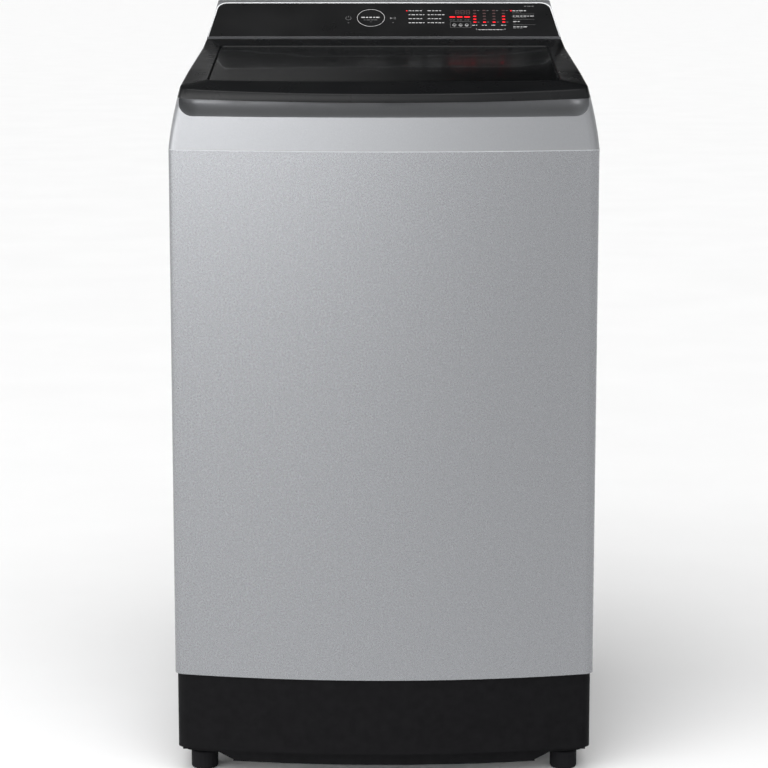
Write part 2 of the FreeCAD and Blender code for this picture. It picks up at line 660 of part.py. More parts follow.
def make_console(outer, inner):
    rim = [("fascia_y", "fascia_z"), ("fascia_top_y", "fascia_top_z"),
           ("fascia_top_y + 8", "total_height"), ("back_reach - 14", "total_height"),
           ("back_reach + 10", "total_height - 7")]
    block = prism("console_block", [("fascia_y + 3", deck("fascia_y + 3")),
                                    ("fascia_y + 3", "fascia_z - 4"), *rim,
                                    ("back_reach + 10", deck("back_reach + 10"))], 300)
    solid = common("console_solid", outer, block)
    inside = [("fascia_y + 14", "fascia_z + 1"), ("fascia_top_y + 2", "fascia_top_z - 6.6"),
              ("fascia_top_y + 10", "total_height - 3"), ("back_reach", "total_height - 6")]
    cavity_block = prism("console_cavity_block", [("fascia_y + 14", "fascia_z - 60"), *inside,
                                                  ("back_reach", "fascia_z - 60")], 300)
    cavity = common("console_cavity", inner, cavity_block)
    channel = cylinder("console_channel", "channel_radius", 600, -300, "hinge_y", "hinge_z",
                       "X")
    recess = fascia_plate("fascia_recess", "trim_width", "fascia_sheet + 3", -1, lift=3)
    node("console_housing", cut("console_cut", solid, cavity, channel, recess))
    node("console_fascia", fascia_plate("fascia_body", 0, "fascia_sheet", -1))
    trim_high = fascia_plate("trim_high", "trim_width", "fascia_sheet + trim_rise", -1,
                             lift="trim_rise")
    trim_core = fascia_plate("trim_core", 0, "fascia_sheet + 8", -1, lift=4, open_foot=30)
    node("console_trim", cut("trim_cut", trim_high, trim_core))

    board = box("board_sheet", (0, 230), (0, 52), (0, 1.6))
    slope_placement(board, -80, 12, -11.5)
    node("display_board", board)
    case = rounded_block("case_block", (-120, 70), (172, 258), (945, 975), 4)
    node("control_board_case", case)


def slope_placement(item, x, along, rise):
    """Lays an item on the fascia's slope: x across, along up the slope, rise out of it."""
    run = value("fascia_top_y - fascia_y")
    climb = value("fascia_top_z - fascia_z")
    angle = math.degrees(math.atan2(climb, run))
    for name in "xyz":
        item.setExpression(f"Placement.Base.{name}", None)
    turn = FreeCAD.Rotation(FreeCAD.Vector(1, 0, 0), angle)
    foot = FreeCAD.Vector(0, value("fascia_y"), value("fascia_z"))
    item.Placement = FreeCAD.Placement(foot + turn.multVec(FreeCAD.Vector(x, along, rise)), turn)
    return item


def fascia_plate(name, grow, thickness, direction, lift=0, open_foot=0):
    """A plate on the console's slope, with two round upper corners, grown by grow."""
    body = new_body(name)
    sketch = new_sketch(body, "XY_Plane", lift)
    slope = "sqrt((fascia_top_y - fascia_y)^2 + (fascia_top_z - fascia_z)^2)"
    taper = "(crown_half - peak_half) / (peak_height - crown_height)"
    half_low = (f"(crown_half - (fascia_z - crown_height) * {taper} - 2.6 + {grow}"
                f" + {open_foot} * 0.2)")
    half_high = f"(crown_half - (fascia_top_z - crown_height) * {taper} - 2.6 + {grow})"
    draw_polygon(sketch, [(f"-{half_low}", f"0.6 - {open_foot}"),
                          (half_low, f"0.6 - {open_foot}"),
                          (half_high, f"{slope} - 2.4 + {grow}"),
                          (f"-{half_high}", f"{slope} - 2.4 + {grow}")])
    feature = pad(body, sketch, thickness, reverse=direction < 0)
    DOC.recompute()
    top_edges = [edge_name for edge_name in upright_edges(feature.Shape)
                 if feature.Shape.getElement(edge_name).CenterOfMass.y > value(slope) / 2]
    fillet = body.newObject("PartDesign::Fillet", f"{name}_fillet")
    fillet.Base = (feature, top_edges)
    fillet.setExpression("Radius", sized(f"fascia_corner + {grow}"))
    return slope_placement(body, 0, 0, 0)


def make_services():
    valves = []
    for index, x in enumerate(("cold_x", "hot_x")):
        block = box(f"valve_block_{index}", (f"{x} - 17", f"{x} + 17"), (222, 262),
                    ("port_z - 17", "port_z + 17"))
        collar = cylinder(f"valve_collar_{index}", "port_collar", "back_reach - 258", x, 258,
                          "port_z", "Y")
        port = cylinder(f"valve_port_{index}", "port_radius", "port_reach - 258", x, 258,
                        "port_z", "Y")
        bore = cylinder(f"valve_bore_{index}", 8, 30, x, "port_reach - 20", "port_z", "Y")
        coil = cylinder(f"valve_coil_{index}", 12, 26, x, 240, "port_z + 14")
        outlet = cylinder(f"valve_outlet_{index}", 7, 22, x, 202, "port_z", "Y")
        solid = fuse(f"valve_solid_{index}", block, collar, port, coil, outlet)
        valves.append(cut(f"valve_{index}", solid, bore))
    node("inlet_valves", group("valve_group", *valves))

    spigot = turned("spigot_body", [
        (9, -8), ("spigot_radius + 5", -8), ("spigot_radius + 5", "-base_wall"),
        ("spigot_radius + 2", "-base_wall"), ("spigot_radius + 2", 0), ("spigot_radius", 0),
        ("spigot_radius", 17), (9, 17),
    ], "spigot_x", "back_reach - base_inset", "spigot_z", "Y")
    node("drain_spigot", spigot)

    housing = box("drawer_case_outer", ("drawer_left - 2.8", "drawer_right + 2.8"),
                  ("opening_back + cover_wall", "drawer_back + 6"),
                  ("drawer_bottom - 2.8", "drawer_top + 2.8"))
    room = box("drawer_case_room", ("drawer_left - 0.8", "drawer_right + 0.8"),
               ("opening_back", "drawer_back + 4"),
               ("drawer_bottom - 0.8", "drawer_top + 0.8"))
    jets = [cylinder(f"case_drain_{index}", 6, 8, x, 120, "drawer_bottom - 6")
            for index, x in enumerate((-140, -80))]
    node("detergent_housing", cut("drawer_case_cut", housing, room, *jets))

    tray = box("drawer_outer", ("drawer_left", "drawer_right"),
               ("opening_back + 0.5", "drawer_back"), ("drawer_bottom", "drawer_top"))
    bays = []
    for index, (low, high) in enumerate((("drawer_left + 2", "drawer_left + 74"),
                                         ("drawer_left + 76", "drawer_right - 2"))):
        bays.append(box(f"drawer_bay_{index}", (low, high),
                        ("opening_back + 8", "drawer_back - 2"),
                        ("drawer_bottom + 2", "drawer_top + 5")))
    grip = cylinder("drawer_grip", 12, 60, "drawer_left + 32", "opening_back - 5",
                    "drawer_bottom + 19", "X")
    node("detergent_drawer", cut("drawer_cut", tray, grip, *bays))
    switch = box("switch_box", (150, 172), (92, 124), (880, 905))
    node("lid_switch", switch)


# ---------------------------------------------------------------- tub, basket, pulsator

def make_tub():
    wall = turned("tub_turned", [
        ("hub_radius", "tub_floor"), ("tub_radius", "tub_floor"), ("tub_radius", "tub_rim - 6"),
        ("tub_radius + 4", "tub_rim - 6"), ("tub_radius + 4", "tub_rim"),
        ("tub_radius - tub_wall", "tub_rim"), ("tub_radius - tub_wall", "tub_floor + 4"),
        ("hub_radius + 4", "tub_floor + 4"), ("hub_radius + 4", "tub_floor + 12"),
        ("hub_radius", "tub_floor + 12")], 0, "tub_y")
    lugs, bores = [], []
    for index, (x, y) in enumerate(rod_places()):
        length = value("sqrt(rod_x^2 + rod_y^2)") + 22
        arm = box(f"lug_{index}", (0, length), (-17, 17), ("lug_level", "lug_level + lug_height"))
        heading = math.degrees(math.atan2(value(y) - value("tub_y"), value(x)))
        for name in "xy":
            arm.setExpression(f"Placement.Base.{name}", None)
        turn = FreeCAD.Rotation(FreeCAD.Vector(0, 0, 1), heading)
        corner = turn.multVec(FreeCAD.Vector(0, -17, 0))
        arm.Placement = FreeCAD.Placement(
            corner + FreeCAD.Vector(0, value("tub_y"), value("lug_level")), turn)
        lugs.append(arm)
        bores.append(cylinder(f"lug_bore_{index}", "cup_radius", 60, x, y, "lug_level - 20"))
    core = cylinder("lug_core", "tub_radius - tub_wall / 2", 60, 0, "tub_y", "lug_level - 20")
    brackets = cut("lug_trim", fuse("lug_cross", *lugs), core, *bores)
    drain_hole = cylinder("tub_drain_hole", 12, 20, -140, -60, "tub_floor - 8")
    node("outer_tub", cut("tub_cut", fuse("tub_solid", wall, brackets), drain_hole))
    node("tub_ring", turned("ring_turned", [
        ("mouth_radius", "tub_rim + 6"), ("tub_radius - 8", "tub_rim + 3"),
        ("tub_radius - 8", "tub_rim"), ("tub_radius + 5", "tub_rim"),
        ("tub_radius + 5", "tub_rim + 6"), ("tub_radius - 4", "ring_top - 3"),
        ("mouth_radius", "ring_top")], 0, "tub_y"))

    plate = rounded_block("support_block", (-120, 120), ("tub_y - 120", "tub_y + 205"),
                          ("plate_bottom", "tub_floor"), 30)
    neck = cylinder("support_neck", 38, 20, 0, "tub_y", "plate_bottom - 5")
    drain_room = cylinder("support_drain", 28, 20, -140, -60, "plate_bottom - 5")
    bolt_tools = [cylinder(f"bolt_tool_{index}", 4, 40, x, y, 275)
                  for index, (x, y) in enumerate(bolt_places())]
    node("tub_support_plate", cut("support_cut", plate, neck, drain_room, *bolt_tools))

    bolts = []
    for index, (x, y) in enumerate(bolt_places()):
        head = DOC.addObject("Part::Prism", f"bolt_head_{index}")
        head.Polygon = 6
        head.Circumradius = 7
        head.Height = 5
        place(head, x, y, "plate_bottom - 9")
        shank = cylinder(f"bolt_shank_{index}", 4, 10, x, y, "plate_bottom - 4")
        bolts.append(fuse(f"bolt_{index}", head, shank))
    node("tub_bolts", group("bolt_group", *bolts))
    return bolt_tools


def rod_places():
    return [(f"{side} * rod_x", f"tub_y + {end} * rod_y") for side in (-1, 1) for end in (-1, 1)]


def bolt_places():
    """Four bolts for the gearbox, three for the motor."""
    places = []
    for quarter in range(4):
        angle = math.radians(45 + 90 * quarter)
        places.append((52 * math.cos(angle), f"tub_y + {52 * math.sin(angle):.3f}"))
    for third in range(3):
        angle = math.radians(90 + 120 * third)
        places.append((58 * math.cos(angle), f"tub_y + motor_offset + {58 * math.sin(angle):.3f}"))
    return [(f"{x:.3f}", y) for x, y in places]


def make_basket():
    node("wash_basket", turned("basket_turned", [
        ("basket_radius - basket_sheet", "basket_floor + 12"),
        ("basket_radius", "basket_floor + 12"), ("basket_radius", "basket_top"),
        ("basket_radius - basket_sheet", "basket_top")], 0, "tub_y"))
    node("basket_base", turned("base_turned", [
        ("shaft_radius + 6", "basket_floor"), ("basket_radius - 14", "basket_floor"),
        ("basket_radius - basket_sheet", "basket_floor + 12"),
        ("basket_radius - basket_sheet", "basket_floor + 58"),
        ("recess_radius + 6", "basket_floor + 40"), ("recess_radius", "basket_floor + 34"),
        ("recess_radius", "basket_floor + 10"), ("shaft_radius + 6", "basket_floor + 10")],
        0, "tub_y"))
    node("balance_ring", turned("balance_turned", [
        ("balance_inner", "basket_top - 10"), ("balance_inner + 4", "basket_top - 16"),
        ("basket_radius - basket_sheet", "basket_top - 16"),
        ("basket_radius - basket_sheet", "basket_top"), ("basket_radius", "basket_top"),
        ("basket_radius", "balance_top - 4"), ("basket_radius - 5", "balance_top"),
        ("balance_inner + 6", "balance_top"), ("balance_inner", "balance_top - 6")],
        0, "tub_y"))
    tube = turned("filter_ring", [("basket_radius - 9", 500), ("basket_radius - basket_sheet", 500),
                                  ("basket_radius - basket_sheet", 640),
                                  ("basket_radius - 9", 640)], 0, "tub_y")
    window = box("filter_span", (-42, 42), (100, 300), (495, 645))
    mesh_room = turned("filter_room", [("basket_radius - 7", 506), ("basket_radius - 3", 506),
                                       ("basket_radius - 3", 634), ("basket_radius - 7", 634)],
                       0, "tub_y")
    room_span = box("filter_room_span", (-36, 36), (100, 300), (480, 660))
    room = common("filter_hollow", mesh_room, room_span)
    node("lint_filter", cut("filter_cut", common("filter_cassette", tube, window), room))
    node("spin_tube", turned("spin_turned", [
        ("shaft_radius + running_gap", 262), ("spin_radius", 262),
        ("spin_radius", "basket_floor - 6"), ("hub_radius + 3", "basket_floor - 6"),
        ("hub_radius + 3", "basket_floor"), ("shaft_radius + running_gap", "basket_floor")],
        0, "tub_y"))


def make_pulsator():
    disc = turned("pulsator_disc", [
        ("shaft_radius", "pulsator_level"), (26, "pulsator_level"),
        (26, "pulsator_level + 8"), ("pulsator_radius - 10", "pulsator_level + 2"),
        ("pulsator_radius", "pulsator_level + 4"), ("pulsator_radius", "pulsator_level + 10"),
        (120, "pulsator_level + 9"), (60, "pulsator_level + 16"), (34, "pulsator_level + 30"),
        (26, "pulsator_level + 44"), (10, "pulsator_level + 48"),
        ("bolt_radius", "pulsator_level + 48"), ("bolt_radius", "pulsator_level + 14"),
        ("shaft_radius", "pulsator_level + 14")], 0, "tub_y")
    vanes = []
    for index in range(6):
        vane = new_body(f"vane_{index}")
        sketch = new_sketch(vane, "XZ_Plane")
        draw_polygon(sketch, [(24, "pulsator_level + 9"), (150, "pulsator_level + 6"),
                              (150, "pulsator_level + 12"), (128, "pulsator_level + 25"),
                              (60, "pulsator_level + 30"), (24, "pulsator_level + 44")])
        pad(vane, sketch, 12, midplane=True)
        place(vane, 0, "tub_y", 0, (FreeCAD.Vector(0, 0, 1), 60 * index))
        vanes.append(vane)
    node("pulsator", fuse("pulsator_solid", disc, *vanes))
    node("pulsator_bolt", turned("pulsator_bolt_turned", [
        (0, "pulsator_level + 2"), ("bolt_radius", "pulsator_level + 2"),
        ("bolt_radius", "pulsator_level + 48"), (8, "pulsator_level + 48"),
        (8, "pulsator_level + 52"), (6, "pulsator_level + 54"), (0, "pulsator_level + 54")],
        0, "tub_y"))
    shaft = turned("shaft_turned", [
        (0, 252), (36, 252), (36, 258), ("shaft_radius", 258),
        ("shaft_radius", "pulsator_level + 14"), ("bolt_radius", "pulsator_level + 14"),
        ("bolt_radius", "pulsator_level + 2"), (0, "pulsator_level + 2")], 0, "tub_y")
    orbit = "gear_module * (sun_teeth + planet_teeth) / 2"
    pins = []
    for index in range(3):
        angle = 120 * index
        pins.append(cylinder(f"planet_pin_{index}", "bolt_radius", 17,
                             f"{orbit} * cos({angle}deg)",
                             f"tub_y + {orbit} * sin({angle}deg)", 237))
    node("pulsator_shaft", fuse("shaft_solid", shaft, *pins))


# ---------------------------------------------------------------- gearbox and drive

PRESSURE_ANGLE = math.radians(20)


def gear_points(teeth, addendum, dedendum, slack):
    """The outline of a spur gear, with a tooth centred on +X, on involute flanks."""
    module = value("gear_module")
    pitch = teeth * module / 2
    base = pitch * math.cos(PRESSURE_ANGLE)
    half_tooth = math.pi / (2 * teeth) - slack / (2 * pitch)
    tip, root = pitch + addendum * module, pitch - dedendum * module
    flank_steps = 4

    def half_angle(radius):
        pressure = math.acos(min(1, base / max(radius, base)))
        at_pitch = math.tan(PRESSURE_ANGLE) - PRESSURE_ANGLE
        return half_tooth + at_pitch - (math.tan(pressure) - pressure)

    start = max(root, base)
    radii = [root] if root < base - 1e-6 else []
    radii += [start + (tip - start) * step / flank_steps for step in range(flank_steps + 1)]
    points = []
    for tooth in range(teeth):
        middle = 2 * math.pi * tooth / teeth
        rising = [(radius, middle - half_angle(radius)) for radius in radii]
        falling = [(radius, middle + half_angle(radius)) for radius in reversed(radii)]
        points += [FreeCAD.Vector(r * math.cos(a), r * math.sin(a), 0)
                   for r, a in rising + falling]
    return points


def gear_solid(name, teeth, addendum, dedendum, slack, low, height):
    """A toothed disc as a plain shape: its flanks follow a formula, not sketch points."""
    points = gear_points(teeth, addendum, dedendum, slack)
    face = Part.Face(Part.makePolygon(points + points[:1]))
    item = DOC.addObject("Part::Feature", name)
    item.Shape = face.extrude(FreeCAD.Vector(0, 0, height))
    item.Placement = FreeCAD.Placement(FreeCAD.Vector(0, value("tub_y"), low),
                                       FreeCAD.Rotation())
    return item


def make_gearbox(bolt_tools):
    slack = value("tooth_slack")
    low, height = value("gear_bottom"), value("gear_height")
    teeth = {kind: int(value(f"{kind}_teeth")) for kind in ("sun", "planet", "ring")}

    sun = gear_solid("sun_gear", teeth["sun"], 0.95, 1.2, slack, low, height)
    stem = turned("sun_stem", [(0, "pulley_bottom - 4"), ("sun_radius", "pulley_bottom - 4"),
                               ("sun_radius", "gear_bottom + gear_height"),
                               (0, "gear_bottom + gear_height")], 0, "tub_y")
    node("sun_shaft", fuse("sun_solid", sun, stem))

    orbit = value("gear_module * (sun_teeth + planet_teeth) / 2")
    for index in range(3):
        heading = FreeCAD.Rotation(FreeCAD.Vector(0, 0, 1), 120 * index)
        planet = gear_solid(f"planet_blank_{index}", teeth["planet"], 0.95, 1.2, slack, low,
                            height)
        centre = heading.multVec(FreeCAD.Vector(orbit, 0, 0))
        planet.Placement = FreeCAD.Placement(
            centre + FreeCAD.Vector(0, value("tub_y"), low), heading)
        bore = cylinder(f"planet_bore_{index}", "bolt_radius + pin_gap", 40, f"{centre.x:.6f}",
                        f"tub_y + {centre.y:.6f}", 230)
        node(f"planet_gear_{index + 1}", cut(f"planet_{index}", planet, bore))

    cutter = gear_solid("ring_cutter", teeth["ring"], 1.2, 0.8, -slack, low - 2, height + 4)
    blank = cylinder("ring_blank", "housing_radius - 6", "gear_height + 2", 0, "tub_y",
                     "gear_bottom - 1")
    node("ring_gear", cut("ring_cut", blank, cutter))

    housing = turned("gearbox_turned", [
        ("sun_radius + running_gap", 222), ("housing_radius", 222), ("housing_radius", 284),
        ("housing_radius + 4", 288), ("housing_radius + 4", "plate_bottom"),
        (38, "plate_bottom"), (38, "tub_floor - 2"), ("bearing_radius", "tub_floor - 2"),
        ("bearing_radius", 262), ("housing_radius - 6", 262), ("housing_radius - 6", 228),
        ("sun_radius + running_gap", 228)], 0, "tub_y")
    node("gearbox_housing", cut("gearbox_cut", housing, *bolt_tools[:4],
                                *[bolt_room(index) for index in range(4)]))
    bearings = [turned(f"bearing_{index}", [
        ("spin_radius + running_gap", start), ("bearing_radius", start),
        ("bearing_radius", f"{start} + bearing_height"),
        ("spin_radius + running_gap", f"{start} + bearing_height")], 0, "tub_y")
        for index, start in enumerate((264, 284))]
    node("spin_bearings", group("bearing_group", *bearings))
    node("water_seal", turned("seal_turned", [
        ("spin_radius + running_gap", 301), ("hub_radius", 301), ("hub_radius", 311),
        ("spin_radius + 4", 311), ("spin_radius + running_gap", 309)], 0, "tub_y"))


def bolt_room(index):
    """Room for a bolt's head beside the gearbox wall."""
    x, y = bolt_places()[index]
    return cylinder(f"bolt_room_{index}", 8, 14, x, y, "plate_bottom - 17")


def pulley(name, groove, y, bore):
    """A flat-belt pulley with two guiding rims."""
    return turned(name, [
        (bore, "pulley_bottom"), (f"{groove} + groove_lip", "pulley_bottom"),
        (f"{groove} + groove_lip", "pulley_bottom + 3"), (groove, "pulley_bottom + 3"),
        (groove, "pulley_bottom + pulley_height - 3"),
        (f"{groove} + groove_lip", "pulley_bottom + pulley_height - 3"),
        (f"{groove} + groove_lip", "pulley_bottom + pulley_height"),
        (bore, "pulley_bottom + pulley_height")], 0, y)


def belt_loop(name, grow, low, high):
    """The flat loop round both pulleys, with its ends grown outwards."""
    body = new_body(name)
    sketch = new_sketch(body, "XY_Plane", low)
    big, small = value(f"big_groove + {grow}"), value(f"small_groove + {grow}")
    near, far = value("tub_y"), value("tub_y + motor_offset")
    lean = math.asin((big - small) / (far - near))
    up = FreeCAD.Vector(0, 0, 1)
    first = Part.ArcOfCircle(Part.Circle(FreeCAD.Vector(0, near, 0), up, big),
                             math.pi - lean, 2 * math.pi + lean)
    second = Part.ArcOfCircle(Part.Circle(FreeCAD.Vector(0, far, 0), up, small),
                              lean, math.pi - lean)
    sketch.addGeometry([first, Part.LineSegment(first.EndPoint, second.StartPoint), second,
                        Part.LineSegment(second.EndPoint, first.StartPoint)], False)
    for index in range(4):
        sketch.addConstraint(Sketcher.Constraint("Tangent", index, 2, (index + 1) % 4, 1))
    size_radius(sketch, 0, f"big_groove + {grow}")
    size_radius(sketch, 2, f"small_groove + {grow}")
    pin_point(sketch, 0, 3, 0, "tub_y")
    pin_point(sketch, 2, 3, 0, "tub_y + motor_offset")
    pad(body, sketch, f"({high}) - ({low})")
    return body


def make_drive(bolt_tools):
    node("drive_pulley", pulley("drive_pulley_turned", "big_groove", "tub_y", "sun_radius"))
    wheel = pulley("motor_pulley_turned", "small_groove", "tub_y + motor_offset", 5)
    spindle = cylinder("motor_spindle", 6, "282 - pulley_bottom", 0, "tub_y + motor_offset",
                       "pulley_bottom")
    node("motor_pulley", fuse("motor_pulley_solid", wheel, spindle))
    node("motor_housing", cut("motor_cut", turned("motor_turned", [
        ("sun_radius + running_gap", 206), ("motor_radius - 14", 206), ("motor_radius", 216),
        ("motor_radius", 282), ("motor_radius + 16", 290), ("motor_radius + 16", "plate_bottom"),
        (0, "plate_bottom"), (0, 284), ("sun_radius + running_gap", 284)],
        0, "tub_y + motor_offset"), *bolt_tools[4:],
        *[bolt_room(index) for index in range(4, 7)]))
    belt_outer = belt_loop("belt_outer", "belt_gap + belt_sheet", "pulley_bottom + 4",
                           "pulley_bottom + pulley_height - 4")
    belt_inner = belt_loop("belt_inner", "belt_gap", "pulley_bottom", "pulley_bottom + 20")
    node("drive_belt", cut("belt_cut", belt_outer, belt_inner))


def make_drain():
    body = fuse("drain_solid",
                cylinder("drain_barrel", 20, 90, -140, -105, 268, "Y"),
                cylinder("drain_riser", 18, 32, -140, -60, 268))
    bore = cylinder("drain_bore", 15, 80, -140, -95, 268, "Y")
    riser_bore = cylinder("drain_riser_bore", 12, 40, -140, -60, 268)
    outlet = cylinder("drain_outlet", 12, 40, -175, -82, 268, "X")
    outlet_bore = cylinder("drain_outlet_bore", 9, 60, -180, -82, 268, "X")
    node("drain_valve_body", cut("drain_cut", fuse("drain_with_outlet", body, outlet), bore,
                                 riser_bore, outlet_bore))
    piston = turned("plunger_turned", [(0, 0), (14.6, 0), (14.6, 14), (5, 18), (5, 58), (0, 58)],
                    -140, -66, 268, "Y")
    eye = box("plunger_eye", (-143, -137), (-12, -2), (260, 276))
    node("drain_plunger", fuse("plunger_solid", piston, eye))
    actuator = rounded_block("actuator_block", (-172, -121), (14, 66), (240, "plate_bottom"), 6)
    hook = cylinder("actuator_spool", 9, 6, -140, 40, 234)
    node("drain_actuator", fuse("actuator_solid", actuator, hook))
    dome = turned("trap_dome", [(0, 0), (11, 0), (11, 46), (5, 52), (3, 66), (0, 66)],
                  "-tub_radius - 11", "tub_y", 330)
    node("air_trap", dome)


def make_suspension():
    brackets, rods, springs, cups = [], [], [], []
    for index, (x, y) in enumerate(rod_places()):
        side = "-1" if x.startswith("-1") else "1"
        wall = "cabinet_width / 2 - sheet"
        span = (f"{side} * ({wall})", f"{side} * (rod_x - 16)")
        span = span if side == "-1" else span[::-1]
        shelf = box(f"bracket_shelf_{index}", span, (f"{y} - 18", f"{y} + 18"),
                    ("bracket_level", "bracket_level + 3"))
        foot = (f"{side} * ({wall})", f"{side} * ({wall} - 3)")
        foot = foot if side == "-1" else foot[::-1]
        flange = box(f"bracket_flange_{index}", foot, (f"{y} - 18", f"{y} + 18"),
                     ("bracket_level - 40", "bracket_level"))
        hole = cylinder(f"bracket_hole_{index}", "rod_radius", 20, x, y, "bracket_level - 8")
        brackets.append(cut(f"bracket_{index}", fuse(f"bracket_solid_{index}", shelf, flange),
                            hole))
        rods.append(turned(f"rod_{index}", [
            (0, "rod_bottom"), ("cup_radius", "rod_bottom"), ("cup_radius", "rod_bottom + 4"),
            ("rod_radius", "rod_bottom + 4"), ("rod_radius", "bracket_level + 3"),
            (9, "bracket_level + 3"), (7, "bracket_level + 11"), (0, "bracket_level + 13")],
            x, y))
        springs.append(turned(f"spring_{index}", [
            ("spring_inner", "rod_bottom + 4"), ("cup_radius - 1", "rod_bottom + 4"),
            ("cup_radius - 1", "lug_level - 6"), ("spring_inner", "lug_level - 6")], x, y))
        cups.append(turned(f"cup_{index}", [
            ("rod_radius + 1.5", "lug_level - 6"), ("cup_radius + 3", "lug_level - 6"),
            ("cup_radius + 3", "lug_level"), ("cup_radius", "lug_level"),
            ("cup_radius", "lug_level + lug_height"),
            ("rod_radius + 1.5", "lug_level + lug_height")], x, y))
    node("suspension_brackets", group("bracket_group", *brackets))
    node("suspension_rods", group("rod_group", *rods))
    node("suspension_springs", group("spring_group", *springs))
    node("suspension_cups", group("cup_group", *cups))


def check_and_write():
    """Stops on any failed feature or bad shape, then writes one file for each piece."""
    DOC.recompute()
    failed = [item.Name for item in DOC.Objects if {"Invalid", "Error"} & set(item.State)]
    if failed:
        raise RuntimeError(f"failed features: {failed}")
    for name, item in NODES.items():
        if item.Shape.isNull() or not item.Shape.isValid() or not item.Shape.Solids:
            raise RuntimeError(f"{name} has no valid solid")
    os.makedirs("parts", exist_ok=True)
    for name, item in NODES.items():
        item.Shape.exportStep(f"parts/{name}.step")
        print(f"{name:22s} solids {len(item.Shape.Solids):2d} volume {item.Shape.Volume / 1e3:9.1f}")


fill_sheet()
make_cabinet()
make_base()
make_feet()
OUTER = envelope("envelope_outer", 0, 0)
INNER = envelope("envelope_inner", "cover_wall", 6)
make_cover(OUTER, INNER)
make_lid(OUTER, INNER)
make_console(OUTER, INNER)
make_services()
BOLT_TOOLS = make_tub()
make_basket()
make_pulsator()
make_gearbox(BOLT_TOOLS)
make_drive(BOLT_TOOLS)
make_drain()
make_suspension()
check_and_write()
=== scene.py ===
"""Looks of the top load washing machine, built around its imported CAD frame. All lengths are in metres."""
import json
import math

import bmesh
import bpy
from mathutils import Matrix, Vector

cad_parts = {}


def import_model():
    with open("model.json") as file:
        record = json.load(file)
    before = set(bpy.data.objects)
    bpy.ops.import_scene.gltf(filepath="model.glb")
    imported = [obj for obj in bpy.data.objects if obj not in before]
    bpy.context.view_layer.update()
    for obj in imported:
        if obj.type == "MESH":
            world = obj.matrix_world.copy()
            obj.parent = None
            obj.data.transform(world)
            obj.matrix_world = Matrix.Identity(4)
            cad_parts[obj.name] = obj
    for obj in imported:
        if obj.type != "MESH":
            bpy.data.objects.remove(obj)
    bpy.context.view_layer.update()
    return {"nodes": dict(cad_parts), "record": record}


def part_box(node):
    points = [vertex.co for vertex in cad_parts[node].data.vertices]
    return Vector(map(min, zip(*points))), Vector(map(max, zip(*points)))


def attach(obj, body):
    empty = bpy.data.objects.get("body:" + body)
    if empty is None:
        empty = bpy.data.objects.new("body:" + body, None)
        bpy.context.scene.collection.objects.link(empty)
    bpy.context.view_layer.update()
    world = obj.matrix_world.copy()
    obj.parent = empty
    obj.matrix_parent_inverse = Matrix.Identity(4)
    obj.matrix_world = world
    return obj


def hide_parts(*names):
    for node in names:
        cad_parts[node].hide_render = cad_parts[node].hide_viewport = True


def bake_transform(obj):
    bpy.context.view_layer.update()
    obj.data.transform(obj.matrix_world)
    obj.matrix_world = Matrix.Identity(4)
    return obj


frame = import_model()
NODES = frame["nodes"]
MOUNTS = {mount["name"]: mount["pos_m"] for mount in frame["record"]["mounts"]}
TURN = 2 * math.pi


# ---------------------------------------------------------------- materials

class Surface:
    """A procedural material: one Principled shader, and short calls that feed textures into it."""

    def __init__(self, name, **sockets):
        self.material = bpy.data.materials.new(name)
        self.material.use_nodes = True
        self.tree = self.material.node_tree
        self.shader = self.tree.nodes["Principled BSDF"]
        for socket, value in sockets.items():
            self.shader.inputs[socket.replace("_", " ")].default_value = value
        self.coordinates = self.tree.nodes.new("ShaderNodeTexCoord").outputs["Object"]

    def add(self, kind, **links):
        node = self.tree.nodes.new(kind)
        for socket, value in links.items():
            target = node.inputs[socket.replace("_", " ")]
            if isinstance(value, bpy.types.NodeSocket):
                self.tree.links.new(value, target)
            else:
                target.default_value = value
        return node

    def stretched(self, stretch):
        return self.add("ShaderNodeMapping", Vector=self.coordinates, Scale=stretch).outputs[0]

    def noise(self, scale, detail=3.0, stretch=(1, 1, 1)):
        where = self.stretched(stretch)
        return self.add("ShaderNodeTexNoise", Vector=where, Scale=scale, Detail=detail).outputs[0]

    def cells(self, scale):
        node = self.add("ShaderNodeTexVoronoi", Vector=self.coordinates, Scale=scale)
        return node.outputs["Distance"]

    def spangle(self, scale):
        node = self.add("ShaderNodeTexVoronoi", Vector=self.coordinates, Scale=scale)
        return self.add("ShaderNodeSeparateColor", Color=node.outputs["Color"]).outputs[0]

    def ramp(self, factor, dark, light, low=0.3, high=0.7):
        node = self.add("ShaderNodeValToRGB", Fac=factor)
        node.color_ramp.elements[0].position = low
        node.color_ramp.elements[1].position = high
        node.color_ramp.elements[0].color = (*dark, 1)
        node.color_ramp.elements[1].color = (*light, 1)
        return node.outputs[0]

    def color(self, factor, dark, light, **span):
        self.tree.links.new(self.ramp(factor, dark, light, **span), self.shader.inputs["Base Color"])

    def roughness(self, factor, smooth, rough):
        node = self.add("ShaderNodeMapRange", Value=factor, From_Min=0.3, From_Max=0.7,
                        To_Min=smooth, To_Max=rough)
        self.tree.links.new(node.outputs[0], self.shader.inputs["Roughness"])

    def bump(self, height, strength, distance):
        node = self.add("ShaderNodeBump", Height=height, Strength=strength, Distance=distance)
        self.tree.links.new(node.outputs[0], self.shader.inputs["Normal"])


def body_paint():
    paint = Surface("body_paint", Metallic=0.9)
    peel = paint.noise(420)
    paint.color(paint.noise(1500), (0.250, 0.256, 0.268), (0.270, 0.276, 0.288))
    paint.roughness(peel, 0.265, 0.280)
    paint.bump(peel, 0.012, 0.0001)
    return paint.material


